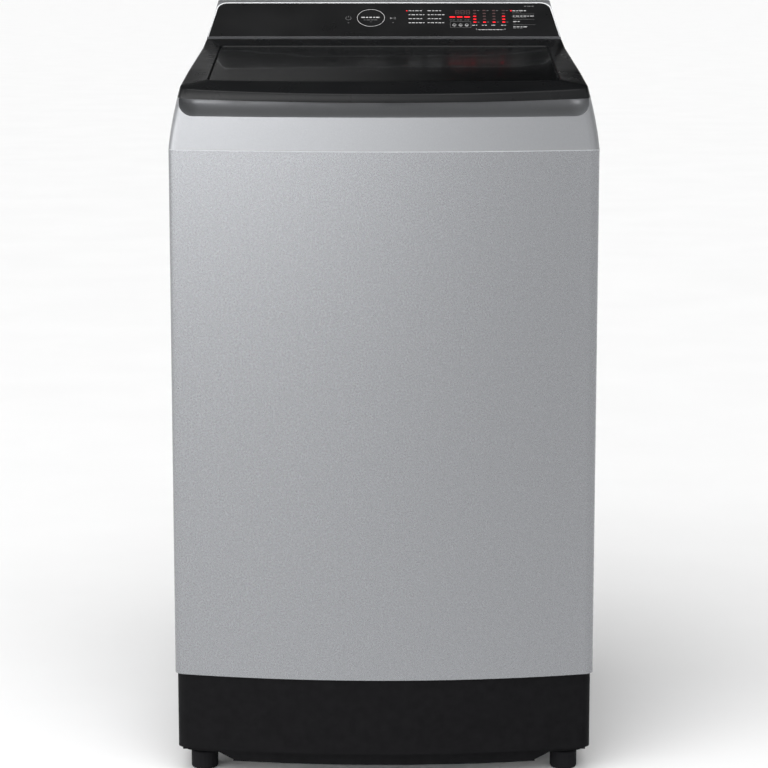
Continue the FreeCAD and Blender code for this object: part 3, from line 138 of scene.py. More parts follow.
def cover_plastic():
    paint = Surface("cover_plastic", Metallic=0.5)
    peel = paint.noise(220)
    paint.color(paint.noise(1500), (0.180, 0.184, 0.192), (0.212, 0.217, 0.226))
    paint.roughness(peel, 0.33, 0.38)
    paint.bump(peel, 0.04, 0.0002)
    return paint.material


def base_plastic():
    plastic = Surface("base_plastic", Specular_IOR_Level=0.04)
    grain = plastic.cells(1100)
    plastic.color(plastic.noise(90), (0.0034, 0.0034, 0.0038), (0.0050, 0.0050, 0.0055))
    plastic.roughness(grain, 0.42, 0.55)
    plastic.bump(grain, 0.25, 0.0003)
    return plastic.material


def lid_gloss():
    plastic = Surface("lid_gloss", Specular_IOR_Level=0.10, Coat_Weight=0.06, Coat_Roughness=0.08)
    haze = plastic.noise(40)
    plastic.color(plastic.noise(14), (0.0040, 0.0042, 0.0046), (0.0058, 0.0060, 0.0064))
    plastic.roughness(haze, 0.26, 0.32)
    plastic.bump(plastic.noise(500), 0.03, 0.0001)
    return plastic.material


def smoked_glass():
    glass = Surface("smoked_glass", Transmission_Weight=0.35, IOR=1.45, Coat_Weight=0.15,
                    Coat_Roughness=0.02)
    smear = glass.noise(22, stretch=(1, 2.5, 1))
    glass.color(smear, (0.0040, 0.0044, 0.0048), (0.0056, 0.0060, 0.0064))
    glass.roughness(smear, 0.20, 0.24)
    glass.bump(glass.noise(9), 0.02, 0.0005)
    return glass.material


def fascia_glass():
    plastic = Surface("fascia_gloss", Specular_IOR_Level=0.3)
    smear = plastic.noise(16)
    plastic.color(smear, (0.0035, 0.0036, 0.0038), (0.0050, 0.0051, 0.0054))
    plastic.roughness(smear, 0.26, 0.32)
    plastic.bump(plastic.noise(600), 0.02, 0.0001)
    return plastic.material


def lid_matte():
    plastic = Surface("lid_matte", Specular_IOR_Level=0.15)
    grain = plastic.cells(1600)
    plastic.color(plastic.noise(70), (0.010, 0.010, 0.011), (0.014, 0.014, 0.015))
    plastic.roughness(grain, 0.38, 0.50)
    plastic.bump(grain, 0.2, 0.0002)
    return plastic.material


def trim_chrome():
    metal = Surface("trim_chrome", Metallic=0.25)
    brush = metal.noise(900, stretch=(0.03, 1, 1))
    metal.color(brush, (0.70, 0.71, 0.72), (0.82, 0.83, 0.84))
    metal.roughness(brush, 0.20, 0.30)
    metal.bump(brush, 0.05, 0.0001)
    return metal.material


def steel():
    metal = Surface("steel", Metallic=1.0)
    brush = metal.noise(700, stretch=(1, 1, 0.02))
    metal.color(metal.noise(30), (0.50, 0.51, 0.52), (0.62, 0.63, 0.64))
    metal.roughness(brush, 0.22, 0.34)
    metal.bump(brush, 0.08, 0.0001)
    return metal.material


def zinc_sheet():
    metal = Surface("zinc_sheet", Metallic=0.9)
    crystals = metal.spangle(70)
    metal.color(crystals, (0.40, 0.41, 0.43), (0.56, 0.57, 0.59), low=0.0, high=1.0)
    metal.roughness(crystals, 0.32, 0.48)
    metal.bump(metal.noise(300), 0.05, 0.0002)
    return metal.material


def moulded(name, dark, light, smooth=0.35, rough=0.5, grain=900, **sockets):
    """Moulded plastic: slow colour drift, fine spark-eroded grain."""
    plastic = Surface(name, **sockets)
    texture = plastic.noise(grain)
    plastic.color(plastic.noise(25), dark, light)
    plastic.roughness(texture, smooth, rough)
    plastic.bump(texture, 0.12, 0.0002)
    return plastic.material


def tub_plastic():
    return moulded("tub_plastic", (0.50, 0.52, 0.53), (0.58, 0.60, 0.61))


def white_plastic():
    return moulded("white_plastic", (0.60, 0.61, 0.61), (0.68, 0.69, 0.69), 0.25, 0.38,
                   Subsurface_Weight=0.05)


def grey_plastic():
    return moulded("grey_plastic", (0.28, 0.29, 0.30), (0.34, 0.35, 0.36), 0.28, 0.4)


def black_rubber():
    return moulded("black_rubber", (0.005, 0.005, 0.006), (0.009, 0.009, 0.010), 0.6, 0.8, 1500,
                   Specular_IOR_Level=0.06)


def cast_aluminium():
    metal = Surface("cast_aluminium", Metallic=1.0)
    skin = metal.noise(400, 6)
    metal.color(metal.noise(60), (0.52, 0.53, 0.54), (0.64, 0.65, 0.66))
    metal.roughness(skin, 0.38, 0.55)
    metal.bump(skin, 0.3, 0.0004)
    return metal.material


def gear_steel():
    metal = Surface("gear_steel", Metallic=1.0)
    oil = metal.noise(120)
    metal.color(oil, (0.30, 0.29, 0.28), (0.45, 0.44, 0.43))
    metal.roughness(oil, 0.18, 0.35)
    metal.bump(metal.noise(1200), 0.06, 0.0001)
    return metal.material


def valve_blue():
    return moulded("valve_blue", (0.02, 0.10, 0.34), (0.03, 0.14, 0.42), 0.3, 0.42)


def board_green():
    board = Surface("board_green", Coat_Weight=0.3)
    tracks = board.cells(260)
    board.color(tracks, (0.010, 0.085, 0.030), (0.030, 0.150, 0.060), low=0.15, high=0.35)
    board.roughness(tracks, 0.25, 0.4)
    board.bump(tracks, 0.2, 0.0002)
    return board.material


def silk_print(name, level):
    """Screen-printed ink on the console."""
    return moulded(name, (level * 0.8,) * 3, (level,) * 3, 0.4, 0.5, 2500)


def lamp(name, dark, light, strength):
    """A lit segment under the fascia: its glow is uneven, as a diffuser's is."""
    glow = Surface(name, Roughness=0.3, Emission_Strength=strength)
    spots = glow.noise(600)
    glow.color(spots, dark, light)
    glow.tree.links.new(glow.ramp(spots, dark, light), glow.shader.inputs["Emission Color"])
    return glow.material


MATERIALS = {maker.__name__: maker() for maker in (
    body_paint, cover_plastic, base_plastic, lid_gloss, smoked_glass, lid_matte, trim_chrome, steel,
    zinc_sheet, tub_plastic, white_plastic, grey_plastic, black_rubber, cast_aluminium, gear_steel,
    valve_blue, board_green)}
FASCIA = fascia_glass()


def finish_cad_nodes():
    """Gives every CAD node the procedural material of its slot in the record."""
    for part in frame["record"]["subparts"]:
        mesh = NODES[part["node"]].data
        mesh.materials.clear()
        mesh.materials.append(MATERIALS[part["material_slot"]])
    NODES["console_fascia"].data.materials[0] = FASCIA


# ---------------------------------------------------------------- mesh tools

def piece(name, bm, material, body, replaces=(), smooth_angle=35):
    """Turns a bmesh into an object that rides on a body."""
    bmesh.ops.recalc_face_normals(bm, faces=bm.faces)
    mesh = bpy.data.meshes.new(name)
    bm.to_mesh(mesh)
    bm.free()
    mesh.materials.append(material)
    obj = bpy.data.objects.new(name, mesh)
    bpy.context.scene.collection.objects.link(obj)
    mesh.shade_smooth()
    mesh.set_sharp_from_angle(angle=math.radians(smooth_angle))
    if body:
        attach(obj, body)
    if replaces:
        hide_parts(*replaces)
    return obj


def ring_of(bm, radius, height, count):
    return [bm.verts.new((radius * math.cos(TURN * i / count),
                          radius * math.sin(TURN * i / count), height)) for i in range(count)]


def bridge(bm, low, high, closed=True):
    """Joins two rows of points with quads."""
    count = len(low)
    for i in range(count if closed else count - 1):
        j = (i + 1) % count
        bm.faces.new((low[i], low[j], high[j], high[i]))


def lathe(bm, profile, count, place=Matrix()):
    """Turns a profile of (radius, height) points about Z; a radius of 0 closes the end."""
    before = set(bm.verts)
    rows = []
    for radius, height in profile:
        if radius == 0:
            rows.append([bm.verts.new((0, 0, height))])
        else:
            rows.append(ring_of(bm, radius, height, count))
    for low, high in zip(rows, rows[1:]):
        if len(low) == 1 or len(high) == 1:
            tip, rim = (low[0], high) if len(low) == 1 else (high[0], low)
            for i in range(count):
                bm.faces.new((tip, rim[i], rim[(i + 1) % count]))
        else:
            bridge(bm, low, high)
    made = [v for v in bm.verts if v not in before]
    bmesh.ops.transform(bm, matrix=place, verts=made)
    return made


def slab(bm, outline, low, high, place=Matrix()):
    """A flat plate: an outline of (x, y) points between two heights."""
    bottom = [bm.verts.new((x, y, low)) for x, y in outline]
    top = [bm.verts.new((x, y, high)) for x, y in outline]
    bridge(bm, bottom, top)
    bm.faces.new(top)
    bm.faces.new(bottom[::-1])
    bmesh.ops.transform(bm, matrix=place, verts=bottom + top)


def rounded(width, depth, radius, steps=4, centre=(0, 0)):
    """The outline of a rectangle with round corners."""
    points = []
    for quarter, (sx, sy) in enumerate(((1, 1), (-1, 1), (-1, -1), (1, -1))):
        cx = centre[0] + sx * (width / 2 - radius)
        cy = centre[1] + sy * (depth / 2 - radius)
        for step in range(steps + 1):
            angle = math.pi / 2 * (quarter + step / steps)
            points.append((cx + radius * math.cos(angle), cy + radius * math.sin(angle)))
    return points


def frame_slab(bm, outer, inner, low, high, place):
    """A flat frame between two outlines with the same number of points."""
    rows = [[bm.verts.new((x, y, z)) for x, y in line]
            for line, z in ((outer, low), (outer, high), (inner, high), (inner, low))]
    for here, there in zip(rows, rows[1:] + rows[:1]):
        bridge(bm, here, there)
    bmesh.ops.transform(bm, matrix=place, verts=[v for row in rows for v in row])


# ---------------------------------------------------------------- console graphics

INK = 0.00012          # how far the print stands above the fascia
INK_WHITE = silk_print("print_white", 0.42)
INK_GREY = silk_print("print_grey", 0.13)
LAMP_RED = lamp("lamp_red", (0.50, 0.006, 0.010), (0.75, 0.012, 0.018), 1.1)
LAMP_DIM = lamp("lamp_dim", (0.040, 0.020, 0.020), (0.065, 0.034, 0.034), 0.6)


def fascia_place():
    """The fascia's face as a matrix: X to the right, Y up the slope from its lower edge, Z out of it."""
    mesh = NODES["console_fascia"].data
    face = max(mesh.polygons, key=lambda polygon: polygon.area)
    foot = min((mesh.vertices[i].co for i in face.vertices), key=lambda point: point.z)
    normal = face.normal.normalized()
    up = normal.cross(Vector((1, 0, 0))).normalized()
    up = up if up.z > 0 else -up
    place = Matrix((Vector((1, 0, 0)), up, normal)).transposed().to_4x4()
    place.translation = (0, foot.y, foot.z)
    return place


class Prints:
    """Flat marks on the fascia, one mesh for each ink."""

    def __init__(self, name, ink):
        self.name, self.ink, self.bm, self.place = name, ink, bmesh.new(), fascia_place()

    def bar(self, left, right, rise, height=0.0014):
        """A rounded bar from left to right, centred on that rise."""
        shape = rounded(right - left, height, min(height, right - left) * 0.45, 2,
                        ((left + right) / 2, rise))
        slab(self.bm, shape, 0, INK, self.place)

    def words(self, left, right, rise, height=0.0014, seed=1):
        """A label with no lettering: a run of short bars of uneven length."""
        x, step = left, 0
        while x < right - 0.0012:
            length = min((0.0042, 0.0028, 0.0052, 0.0034)[(step + seed) % 4], right - x)
            self.bar(x, x + length, rise, height)
            x += length + 0.0011
            step += 1

    def loop(self, x, rise, radius, width, start=0.0, end=TURN, steps=48):
        """A ring, or an arc of one."""
        closed = end - start >= TURN
        angles = [start + (end - start) * i / steps for i in range(steps if closed else steps + 1)]
        rows = []
        for r, z in ((radius, 0), (radius, INK), (radius - width, INK), (radius - width, 0)):
            rows.append([self.bm.verts.new((x + r * math.cos(a), rise + r * math.sin(a), z))
                         for a in angles])
        for here, there in zip(rows, rows[1:] + rows[:1]):
            bridge(self.bm, here, there, closed)
        if not closed:
            for end_row in (0, -1):
                self.bm.faces.new([row[end_row] for row in rows])
        bmesh.ops.transform(self.bm, matrix=self.place, verts=[v for row in rows for v in row])

    def shape(self, points):
        slab(self.bm, points, 0, INK, self.place)

    def done(self):
        piece(self.name, self.bm, self.ink, "cabinet", smooth_angle=20)


def digit_bars(prints, x, rise, tall=0.0080, wide=0.0048, thick=0.0009):
    """The seven bars of one figure, all on."""
    half = tall / 2
    for level in (-half, 0, half):
        prints.bar(x - wide / 2, x + wide / 2, rise + level, thick)
    for side in (-1, 1):
        for level in (-half / 2, half / 2):
            cx = x + side * wide / 2
            prints.shape(rounded(thick, half * 0.8, thick * 0.4, 2, (cx, rise + level)))


def console_graphics():
    """Generic marks where the controls are: keys, ring, programme rows, figures and level lamps."""
    white = Prints("console_marks", INK_WHITE)
    grey = Prints("console_small_marks", INK_GREY)
    red = Prints("console_lamps_on", LAMP_RED)
    dim = Prints("console_lamps_off", LAMP_DIM)

    power_x, start_x, key_rise = -0.0488, 0.0125, 0.0406
    grey.loop(power_x, key_rise, 0.0040, 0.0005, math.radians(120), math.radians(420))
    grey.shape(rounded(0.0005, 0.0034, 0.0002, 2, (power_x, key_rise + 0.0034)))
    grey.bar(power_x - 0.0012, power_x + 0.0012, 0.0306, 0.0008)
    grey.shape([(start_x - 0.0042, key_rise - 0.0024), (start_x - 0.0002, key_rise),
                (start_x - 0.0042, key_rise + 0.0024)])
    for offset in (0.0014, 0.0032):
        grey.shape(rounded(0.0007, 0.0044, 0.0002, 2, (start_x + offset, key_rise)))
    grey.bar(start_x - 0.0012, start_x + 0.0012, 0.0308, 0.0008)

    ring_x, ring_rise = -0.0180, 0.0413
    white.loop(ring_x, ring_rise, 0.0190, 0.0006, steps=96)
    white.words(ring_x - 0.0132, ring_x + 0.0132, 0.0424, 0.0022, seed=2)
    grey.words(ring_x - 0.0100, ring_x + 0.0100, 0.0368, 0.0010)
    grey.bar(ring_x - 0.0010, ring_x + 0.0010, 0.0324, 0.0008)

    row_top, row_pitch = 0.0572, 0.00887
    for row in range(4):
        rise = row_top - row * row_pitch
        white.words(0.0337, 0.0337 + 0.019 + 0.003 * (row % 2), rise, 0.0015, seed=row)
        white.words(0.0598, 0.0598 + 0.021 + 0.004 * (row % 2), rise, 0.0015, seed=row + 2)
    red.loop(0.0313, row_top, 0.0010, 0.0009, steps=12)

    for index in range(3):
        digit_bars(dim, 0.1010 + index * 0.0073, 0.0539)
        red.bar(0.0900 + index * 0.0100, 0.0980 + index * 0.0102, 0.0433, 0.0024)
        grey.words(0.0905 + index * 0.0100, 0.0970 + index * 0.0100, 0.0368, 0.0009)

    icon_box = rounded(0.0287, 0.0133, 0.0010, 3, (0.10505, 0.02665))
    icon_room = rounded(0.0281, 0.0127, 0.0008, 3, (0.10505, 0.02665))
    frame_slab(grey.bm, icon_box, icon_room, 0, INK, grey.place)
    for index in range(3):
        x = 0.0965 + index * 0.0085
        white.loop(x, 0.0255, 0.0026, 0.0006, math.radians(20), math.radians(200), 16)
        white.bar(x - 0.0026, x + 0.0026, 0.0243, 0.0007)
        white.bar(x - 0.0014, x + 0.0014, 0.0228, 0.0006)

    column_pitch, lamp_top, lamp_pitch = 0.0132, 0.0577, 0.00643
    lamps_on = ((2, 3, 4), (4,), (4,), (2, 3, 4))
    for column, lit in enumerate(lamps_on):
        x = 0.1248 + column * column_pitch
        for row in range(5):
            ink = red if row in lit else dim
            ink.bar(x - 0.0022, x + 0.0022, lamp_top - row * lamp_pitch, 0.0021)
            if row in (0, 4):
                grey.words(x + 0.0034, x + 0.0070, lamp_top - row * lamp_pitch, 0.0009)
        white.words(x - 0.0040, x + 0.0030, 0.0251, 0.0013, seed=column)
    bracket_low, bracket_high = 0.0153, 0.0175
    white.bar(0.1280, 0.1640, bracket_low, 0.0005)
    white.words(0.1290, 0.1630, bracket_low, 0.0014, seed=3)
    for x in (0.1265, 0.1655):
        white.shape(rounded(0.0005, bracket_high - bracket_low, 0.0002, 2,
                            (x, (bracket_low + bracket_high) / 2)))

    list_x, list_top, list_pitch = 0.1770, 0.0572, 0.0119
    for row, length in enumerate((0.0202, 0.0307, 0.0092, 0.0211)):
        rise = list_top - row * list_pitch
        white.words(list_x, list_x + length, rise, 0.0014, seed=row)
        grey.words(list_x, list_x + length * 0.6, rise - 0.0030, 0.0008, seed=row + 1)
        if row < 3:
            grey.bar(list_x, list_x + 0.030, rise - 0.0072, 0.0003)
    red.loop(0.1750, list_top, 0.0011, 0.0010, steps=12)
    grey.words(0.1935, 0.2068, 0.0672, 0.0014)

    white.done()
    grey.done()
    red.done()
    dim.done()


# ---------------------------------------------------------------- lid

LID_LINE = ((-0.277, 0.8810), (-0.236, 0.8943), (0.045, 0.9283), (0.072, 0.9380))
LIP_Y, LIP_Z = -0.276, 0.870
DECK_RISE = 0.13165      # slope of the plane the lid rests on
LID_BOW = 1.090          # radius of the bowed front
LID_WALL = 0.003
CORNER_DROP = 0.0036     # how far the crease stays low where the front bows back
WINDOW_SAGITTA = 0.012   # how far the window's front corners lie behind its middle
GAP = 0.0008             # between the lid and the cover
KNUCKLE_ROOM = ((0.1965, 0.2110), (0.0566, 0.080), (0.890, 0.9324))


def between(pairs, at):
    """Reads a line of (position, value) pairs, straight between them and beyond its ends."""
    for (a, low), (b, high) in zip(pairs, pairs[1:]):
        if at <= b or (b, high) == pairs[-1]:
            return low + (high - low) * (at - a) / (b - a)


def deck_height(y):
    return LIP_Z + (y - LIP_Y) * DECK_RISE


def lid_half(z):
    return between(((0.870, 0.2600), (0.930, 0.2436)), z)


def glass_height(y):
    return between(LID_LINE[1:3], y)


def crease_top(x, y):
    """Height of the lid's upper edge: level along the bowed front, then up the sides."""
    near_front = max(0.0, min(1.0, (-0.150 - y) / 0.100))
    drop = CORNER_DROP * (x / 0.235) ** 2 * near_front
    return between(LID_LINE, y) - min(drop, CORNER_DROP)


def half_loop(half, front, sagitta, back, front_corner, rear_corner):
    """The right half of a plan outline, from the middle of its bowed front to the middle of its back."""
    front_steps, corner_steps, side_steps, rear_steps, back_steps = 16, 8, 20, 6, 10
    tilt = math.atan(2 * sagitta / half)
    end = half - front_corner * (1 - math.sin(tilt))
    points = [(end * i / front_steps, front + sagitta * (end * i / front_steps / half) ** 2)
              for i in range(front_steps + 1)]
    centre_x = end - front_corner * math.sin(tilt)
    centre_y = points[-1][1] + front_corner * math.cos(tilt)
    for i in range(1, corner_steps + 1):
        angle = (tilt - math.pi / 2) * (1 - i / corner_steps)
        points.append((centre_x + front_corner * math.cos(angle),
                       centre_y + front_corner * math.sin(angle)))
    side_end = back - rear_corner
    points += [(half, centre_y + (side_end - centre_y) * i / side_steps)
               for i in range(1, side_steps)]
    for i in range(rear_steps + 1):
        angle = math.pi / 2 * i / rear_steps
        points.append((half - rear_corner + rear_corner * math.cos(angle),
                       side_end + rear_corner * math.sin(angle)))
    points += [((half - rear_corner) * (1 - i / back_steps), back)
               for i in range(1, back_steps + 1)]
    return points


def whole_loop(right):
    """A right half with its mirror image, as one closed outline."""
    return right + [(-x, y) for x, y in right[-2:0:-1]]


def outer_loop(inset):
    """The lid's outline near its crease, drawn in by a distance."""
    half, front, back, front_corner, rear_corner = 0.2568, -0.2755, 0.072, 0.016, 0.0008
    sagitta = 0.255 ** 2 / (2 * LID_BOW)
    return whole_loop(half_loop(half - inset, front + inset, sagitta, back - min(inset, LID_WALL),
                                front_corner - inset, rear_corner))


def window_loop(grow):
    """The window's outline, grown all round."""
    half, front, back, front_corner, rear_corner = 0.2205, -0.236, 0.045, 0.008, 0.004
    return whole_loop(half_loop(half + grow, front - grow, WINDOW_SAGITTA, back + grow,
                                front_corner + grow, rear_corner + grow))


def add_row(bm, outline, height, drafted=False):
    """Lays an outline at the height given for each point; a drafted one narrows with height."""
    row = []
    for x, y in outline:
        z = height(x, y)
        wide = lid_half(z) / lid_half(0.8815) if drafted else 1.0
        row.append(bm.verts.new((x * wide, y, z)))
    return row


def carve(obj, blocks):
    """Cuts upright blocks out of a piece, such as the room for the hinge knuckles."""
    bm = bmesh.new()
    for (left, right), (front, back), (low, high) in blocks:
        slab(bm, ((left, front), (right, front), (right, back), (left, back)), low, high)
    bmesh.ops.recalc_face_normals(bm, faces=bm.faces)
    mesh = bpy.data.meshes.new("carving")
    bm.to_mesh(mesh)
    bm.free()
    cutter = bpy.data.objects.new("carving", mesh)
    bpy.context.scene.collection.objects.link(cutter)
    notch = obj.modifiers.new("notch", "BOOLEAN")
    notch.operation = "DIFFERENCE"
    notch.solver = "EXACT"
    notch.object = cutter
    graph = bpy.context.evaluated_depsgraph_get()
    carved = bpy.data.meshes.new_from_object(obj.evaluated_get(graph))
    obj.modifiers.remove(notch)
    obj.data = carved
    bpy.data.objects.remove(cutter)


def lid_shell():
    """The lid's black frame, from its foot over the bowed crease and the window's rim to the inside."""
    bm = bmesh.new()

    def foot(x, y):
        return deck_height(y) + GAP

    def lowered(surface, depth):
        return lambda x, y: surface(x, y) - depth

    def glass(x, y):
        return glass_height(y) if y < 0.045 else between(LID_LINE, y)

    crease = ((0, 0.0022), (0.0003, 0.0011), (0.0010, 0.0003), (0.0024, -0.0002))
    window_rim = ((0.0040, 0), (0.0028, -0.0007), (0.0014, -0.0008), (0.0004, 0.0002), (0, 0.0010),
                  (0, 0.0044), (0.0070, 0.0044))
    under_crease = 0.0038
    rows = [add_row(bm, outer_loop(0), foot, True)]
    rows += [add_row(bm, outer_loop(inset), lowered(crease_top, depth), True)
             for inset, depth in crease]
    rows += [add_row(bm, window_loop(grow), lowered(glass, depth)) for grow, depth in window_rim]
    rows += [add_row(bm, outer_loop(LID_WALL), surface, True)
             for surface in (lowered(crease_top, under_crease), foot)]
    for low, high in zip(rows, rows[1:] + rows[:1]):
        bridge(bm, low, high)
    shell = piece("lid_shell", bm, MATERIALS["lid_gloss"], "lid",
                  replaces=("lid_frame",), smooth_angle=40)
    (inner, outer), depth, height = KNUCKLE_ROOM
    carve(shell, [((side * inner, side * outer), depth, height) for side in (-1, 1)])


def lid_pane():
    """The smoked window, with rounded edges and a front edge bowed like the lid's."""
    bm = bmesh.new()
    edge = ((-0.0006, 0.0042), (-0.0003, 0.0010), (-0.0009, 0.0004), (-0.0020, 0.0002))
    rows = [add_row(bm, window_loop(grow), lambda x, y, depth=depth: glass_height(y) - depth)
            for grow, depth in edge]
    for low, high in zip(rows, rows[1:]):
        bridge(bm, low, high)
    bm.faces.new(rows[-1])
    bm.faces.new(rows[0][::-1])
    piece("lid_pane", bm, MATERIALS["smoked_glass"], "lid",
          replaces=("lid_glass",), smooth_angle=40)


def painted_seam_shadow():
    """A painted shadow: a thin grey strip round the joint where the top cover sits on the cabinet, standing
    for the shade in that gap.
    """
    half, front, sagitta, front_corner, rear_corner = 0.270, -0.284, 0.0340, 0.015, 0.004
    profile = ((-0.001, 0.8104), (0.0002, 0.8104), (0.00035, 0.8110), (0.0002, 0.8114),
               (-0.001, 0.8114))

    def outline(grow):
        return whole_loop(half_loop(half + grow, front - grow, sagitta, half + grow, front_corner,
                                    rear_corner))

    bm = bmesh.new()
    rows = [add_row(bm, outline(grow), lambda x, y, z=z: z) for grow, z in profile]
    for low, high in zip(rows, rows[1:] + rows[:1]):
        bridge(bm, low, high)
    # the grey strip is painted shadow along the cover's joint, not a part of the machine
    piece("painted_seam_shadow", bm, MATERIALS["grey_plastic"], "cabinet")


# ---------------------------------------------------------------- basket and pulsator

TUB_Y = -0.010


def basket_wall():
    """A thin drum with a round hole in every cell of its sheet."""
    columns, rows, outer, sheet = 84, 22, 0.214, 0.001
    foot, head, hole = 0.380, 0.729, 0.0019
    low_edge, high_edge = 0.334, 0.745
    bm = bmesh.new()
    cell_x, cell_z = TURN * outer / columns, (head - foot) / rows
    rim = ((-1, -1), (0, -1), (1, -1), (1, 0), (1, 1), (0, 1), (-1, 1), (-1, 0))

    def spot(across, height, radius):
        angle = across / outer
        return bm.verts.new((radius * math.cos(angle), TUB_Y + radius * math.sin(angle), height))

    for column in range(columns):
        for row in range(rows):
            x, z = (column + 0.5) * cell_x, foot + (row + 0.5) * cell_z
            rings = []
            for radius in (outer, outer - sheet):
                edge = [spot(x + dx * cell_x / 2, z + dz * cell_z / 2, radius) for dx, dz in rim]
                lip = [spot(x + hole * dx / math.hypot(dx, dz), z + hole * dz / math.hypot(dx, dz),
                            radius) for dx, dz in rim]
                bridge(bm, edge, lip)
                rings.append(lip)
            bridge(bm, rings[0], rings[1])
        span = [column * cell_x, (column + 0.5) * cell_x, (column + 1) * cell_x]
        for low, high in ((low_edge, foot), (head, high_edge)):
            for radius in (outer, outer - sheet):
                bridge(bm, [spot(x, low, radius) for x in span], [spot(x, high, radius) for x in span],
                       closed=False)
        for height in (low_edge, high_edge):
            bridge(bm, [spot(x, height, outer) for x in span],
                   [spot(x, height, outer - sheet) for x in span], closed=False)
    bmesh.ops.remove_doubles(bm, verts=bm.verts, dist=0.00005)
    piece("basket_drum", bm, MATERIALS["steel"], "basket", replaces=("wash_basket",))


def pulsator_wheel():
    """A dished wheel with six soft vanes and a domed hub."""
    crown = ((0.008, 0.3865), (0.016, 0.3860), (0.024, 0.3820), (0.031, 0.3720), (0.042, 0.3610),
             (0.058, 0.3545), (0.080, 0.3505), (0.104, 0.3480), (0.126, 0.3470), (0.144, 0.3470),
             (0.156, 0.3476), (0.163, 0.3484), (0.1665, 0.3478), (0.168, 0.3460))
    vane = ((0.0, 0.0), (0.024, 0.0), (0.042, 0.010), (0.080, 0.0145), (0.120, 0.014),
            (0.146, 0.006), (0.158, 0.0), (0.17, 0.0))
    under = ((0.168, 0.342), (0.158, 0.340), (0.026, 0.346), (0.026, 0.338), (0.010, 0.338),
             (0.010, 0.352), (0.003, 0.352), (0.003, 0.3865))
    around, vanes, sweep, vane_width = 180, 6, 9, 0.011

    def vane_lift(radius, angle):
        swing = math.sin((angle * vanes + radius * sweep) / 2)
        return between(vane, radius) * math.exp(-(swing * radius / vane_width) ** 2 / 2)

    bm = bmesh.new()
    rows = []
    for profile, lift in ((crown, vane_lift), (under, lambda radius, angle: 0.0)):
        for radius, height in profile:
            angles = [TURN * i / around for i in range(around)]
            rows.append([bm.verts.new((radius * math.cos(angle), TUB_Y + radius * math.sin(angle),
                                       height + lift(radius, angle))) for angle in angles])
    for low, high in zip(rows, rows[1:] + rows[:1]):
        bridge(bm, low, high)
    piece("pulsator_wheel", bm, MATERIALS["grey_plastic"], "pulsator",
          replaces=("pulsator",), smooth_angle=50)


# ---------------------------------------------------------------- springs, feet, back

def tube_along(bm, path, radius):
    """A round wire along a path of points, closed at both ends."""
    sides = 8
    rows = []
    for i, point in enumerate(path):
        heading = (path[min(i + 1, len(path) - 1)] - path[max(i - 1, 0)]).normalized()
        side = heading.cross(Vector((0, 0, 1)))
        side = side.normalized() if side.length > 1e-6 else Vector((1, 0, 0))
        lift = side.cross(heading)
        rows.append([bm.verts.new(point + radius * (math.cos(TURN * k / sides) * side
                                                    + math.sin(TURN * k / sides) * lift))
                     for k in range(sides)])
    for low, high in zip(rows, rows[1:]):
        bridge(bm, low, high)
    bm.faces.new(rows[0])
    bm.faces.new(rows[-1][::-1])


def suspension_coils():
    """Four coil springs, squeezed between the rods' lower cups and the tub."""
    foot, head, coil, wire, turns, turn_steps = 0.2558, 0.3222, 0.0110, 0.0017, 8, 20
    rod_x, rod_reach = 0.205, 0.195
    steps = turns * turn_steps
    bm = bmesh.new()
    for x in (-rod_x, rod_x):
        for y in (TUB_Y - rod_reach, TUB_Y + rod_reach):
            path = [Vector((x + coil * math.cos(TURN * i / turn_steps),
                            y + coil * math.sin(TURN * i / turn_steps),
                            foot + (head - foot) * i / steps)) for i in range(steps + 1)]
            tube_along(bm, path, wire)
    coils = piece("suspension_coils", bm, MATERIALS["steel"], None,
                  replaces=("suspension_springs",), smooth_angle=60)
    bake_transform(coils)


def foot_shape(bm, x, y):
    """A levelling foot: a pad with flats to grip and a rounded sole, under a threaded stem."""
    radius = 0.0175
    pad = [(0, 0.0), (radius - 0.004, 0.0), (radius - 0.001, 0.0010), (radius, 0.0028),
           (radius, 0.0222), (radius - 0.0010, 0.0236), (radius - 0.0024, 0.0240), (0, 0.0240)]
    lathe(bm, pad, 20, Matrix.Translation((x, y, 0)))
    thread, height = [(0, 0.024), (0.0042, 0.024)], 0.0245
    while height < 0.0688:
        thread += [(0.0042, height), (0.0050, height + 0.0006), (0.0050, height + 0.0009)]
        height += 0.0015
    thread += [(0.0042, 0.0692), (0.0036, 0.0700), (0, 0.0700)]
    lathe(bm, thread, 24, Matrix.Translation((x, y, 0)))


def feet():
    """The four levelling feet; the rear pair doesn't turn, so it stays with the cabinet."""
    for node, body, corners in (("foot_front_left", "front_left_foot", ("front_left",)),
                                ("foot_front_right", "front_right_foot", ("front_right",)),
                                ("rear_feet", "cabinet", ("back_left", "back_right"))):
        bm = bmesh.new()
        for corner in corners:
            foot_shape(bm, *MOUNTS[f"{corner}_foot_rest"][:2])
        piece(f"{node}_turned", bm, MATERIALS["black_rubber"], body,
              replaces=(node,), smooth_angle=12)


def pressed(bm, width, height, radius, rise, x, z, y):
    """A shallow pressing that stands out of the rear sheet, with sloping sides."""
    place = Matrix.Translation((x, y, z)) @ Matrix.Rotation(math.radians(-90), 4, "X")
    levels = ((0.0, 0.0), (rise * 0.6, rise * 0.5), (rise, rise * 0.9), (rise * 1.6, rise))
    rows = []
    for inset, level in levels:
        outline = rounded(width - 2 * inset, height - 2 * inset, radius - inset, 5)
        rows.append([bm.verts.new(place @ Vector((a, b, level))) for a, b in outline])
    for low, high in zip(rows, rows[1:]):
        bridge(bm, low, high)
    bm.faces.new(rows[-1])
    bm.faces.new(rows[0][::-1])


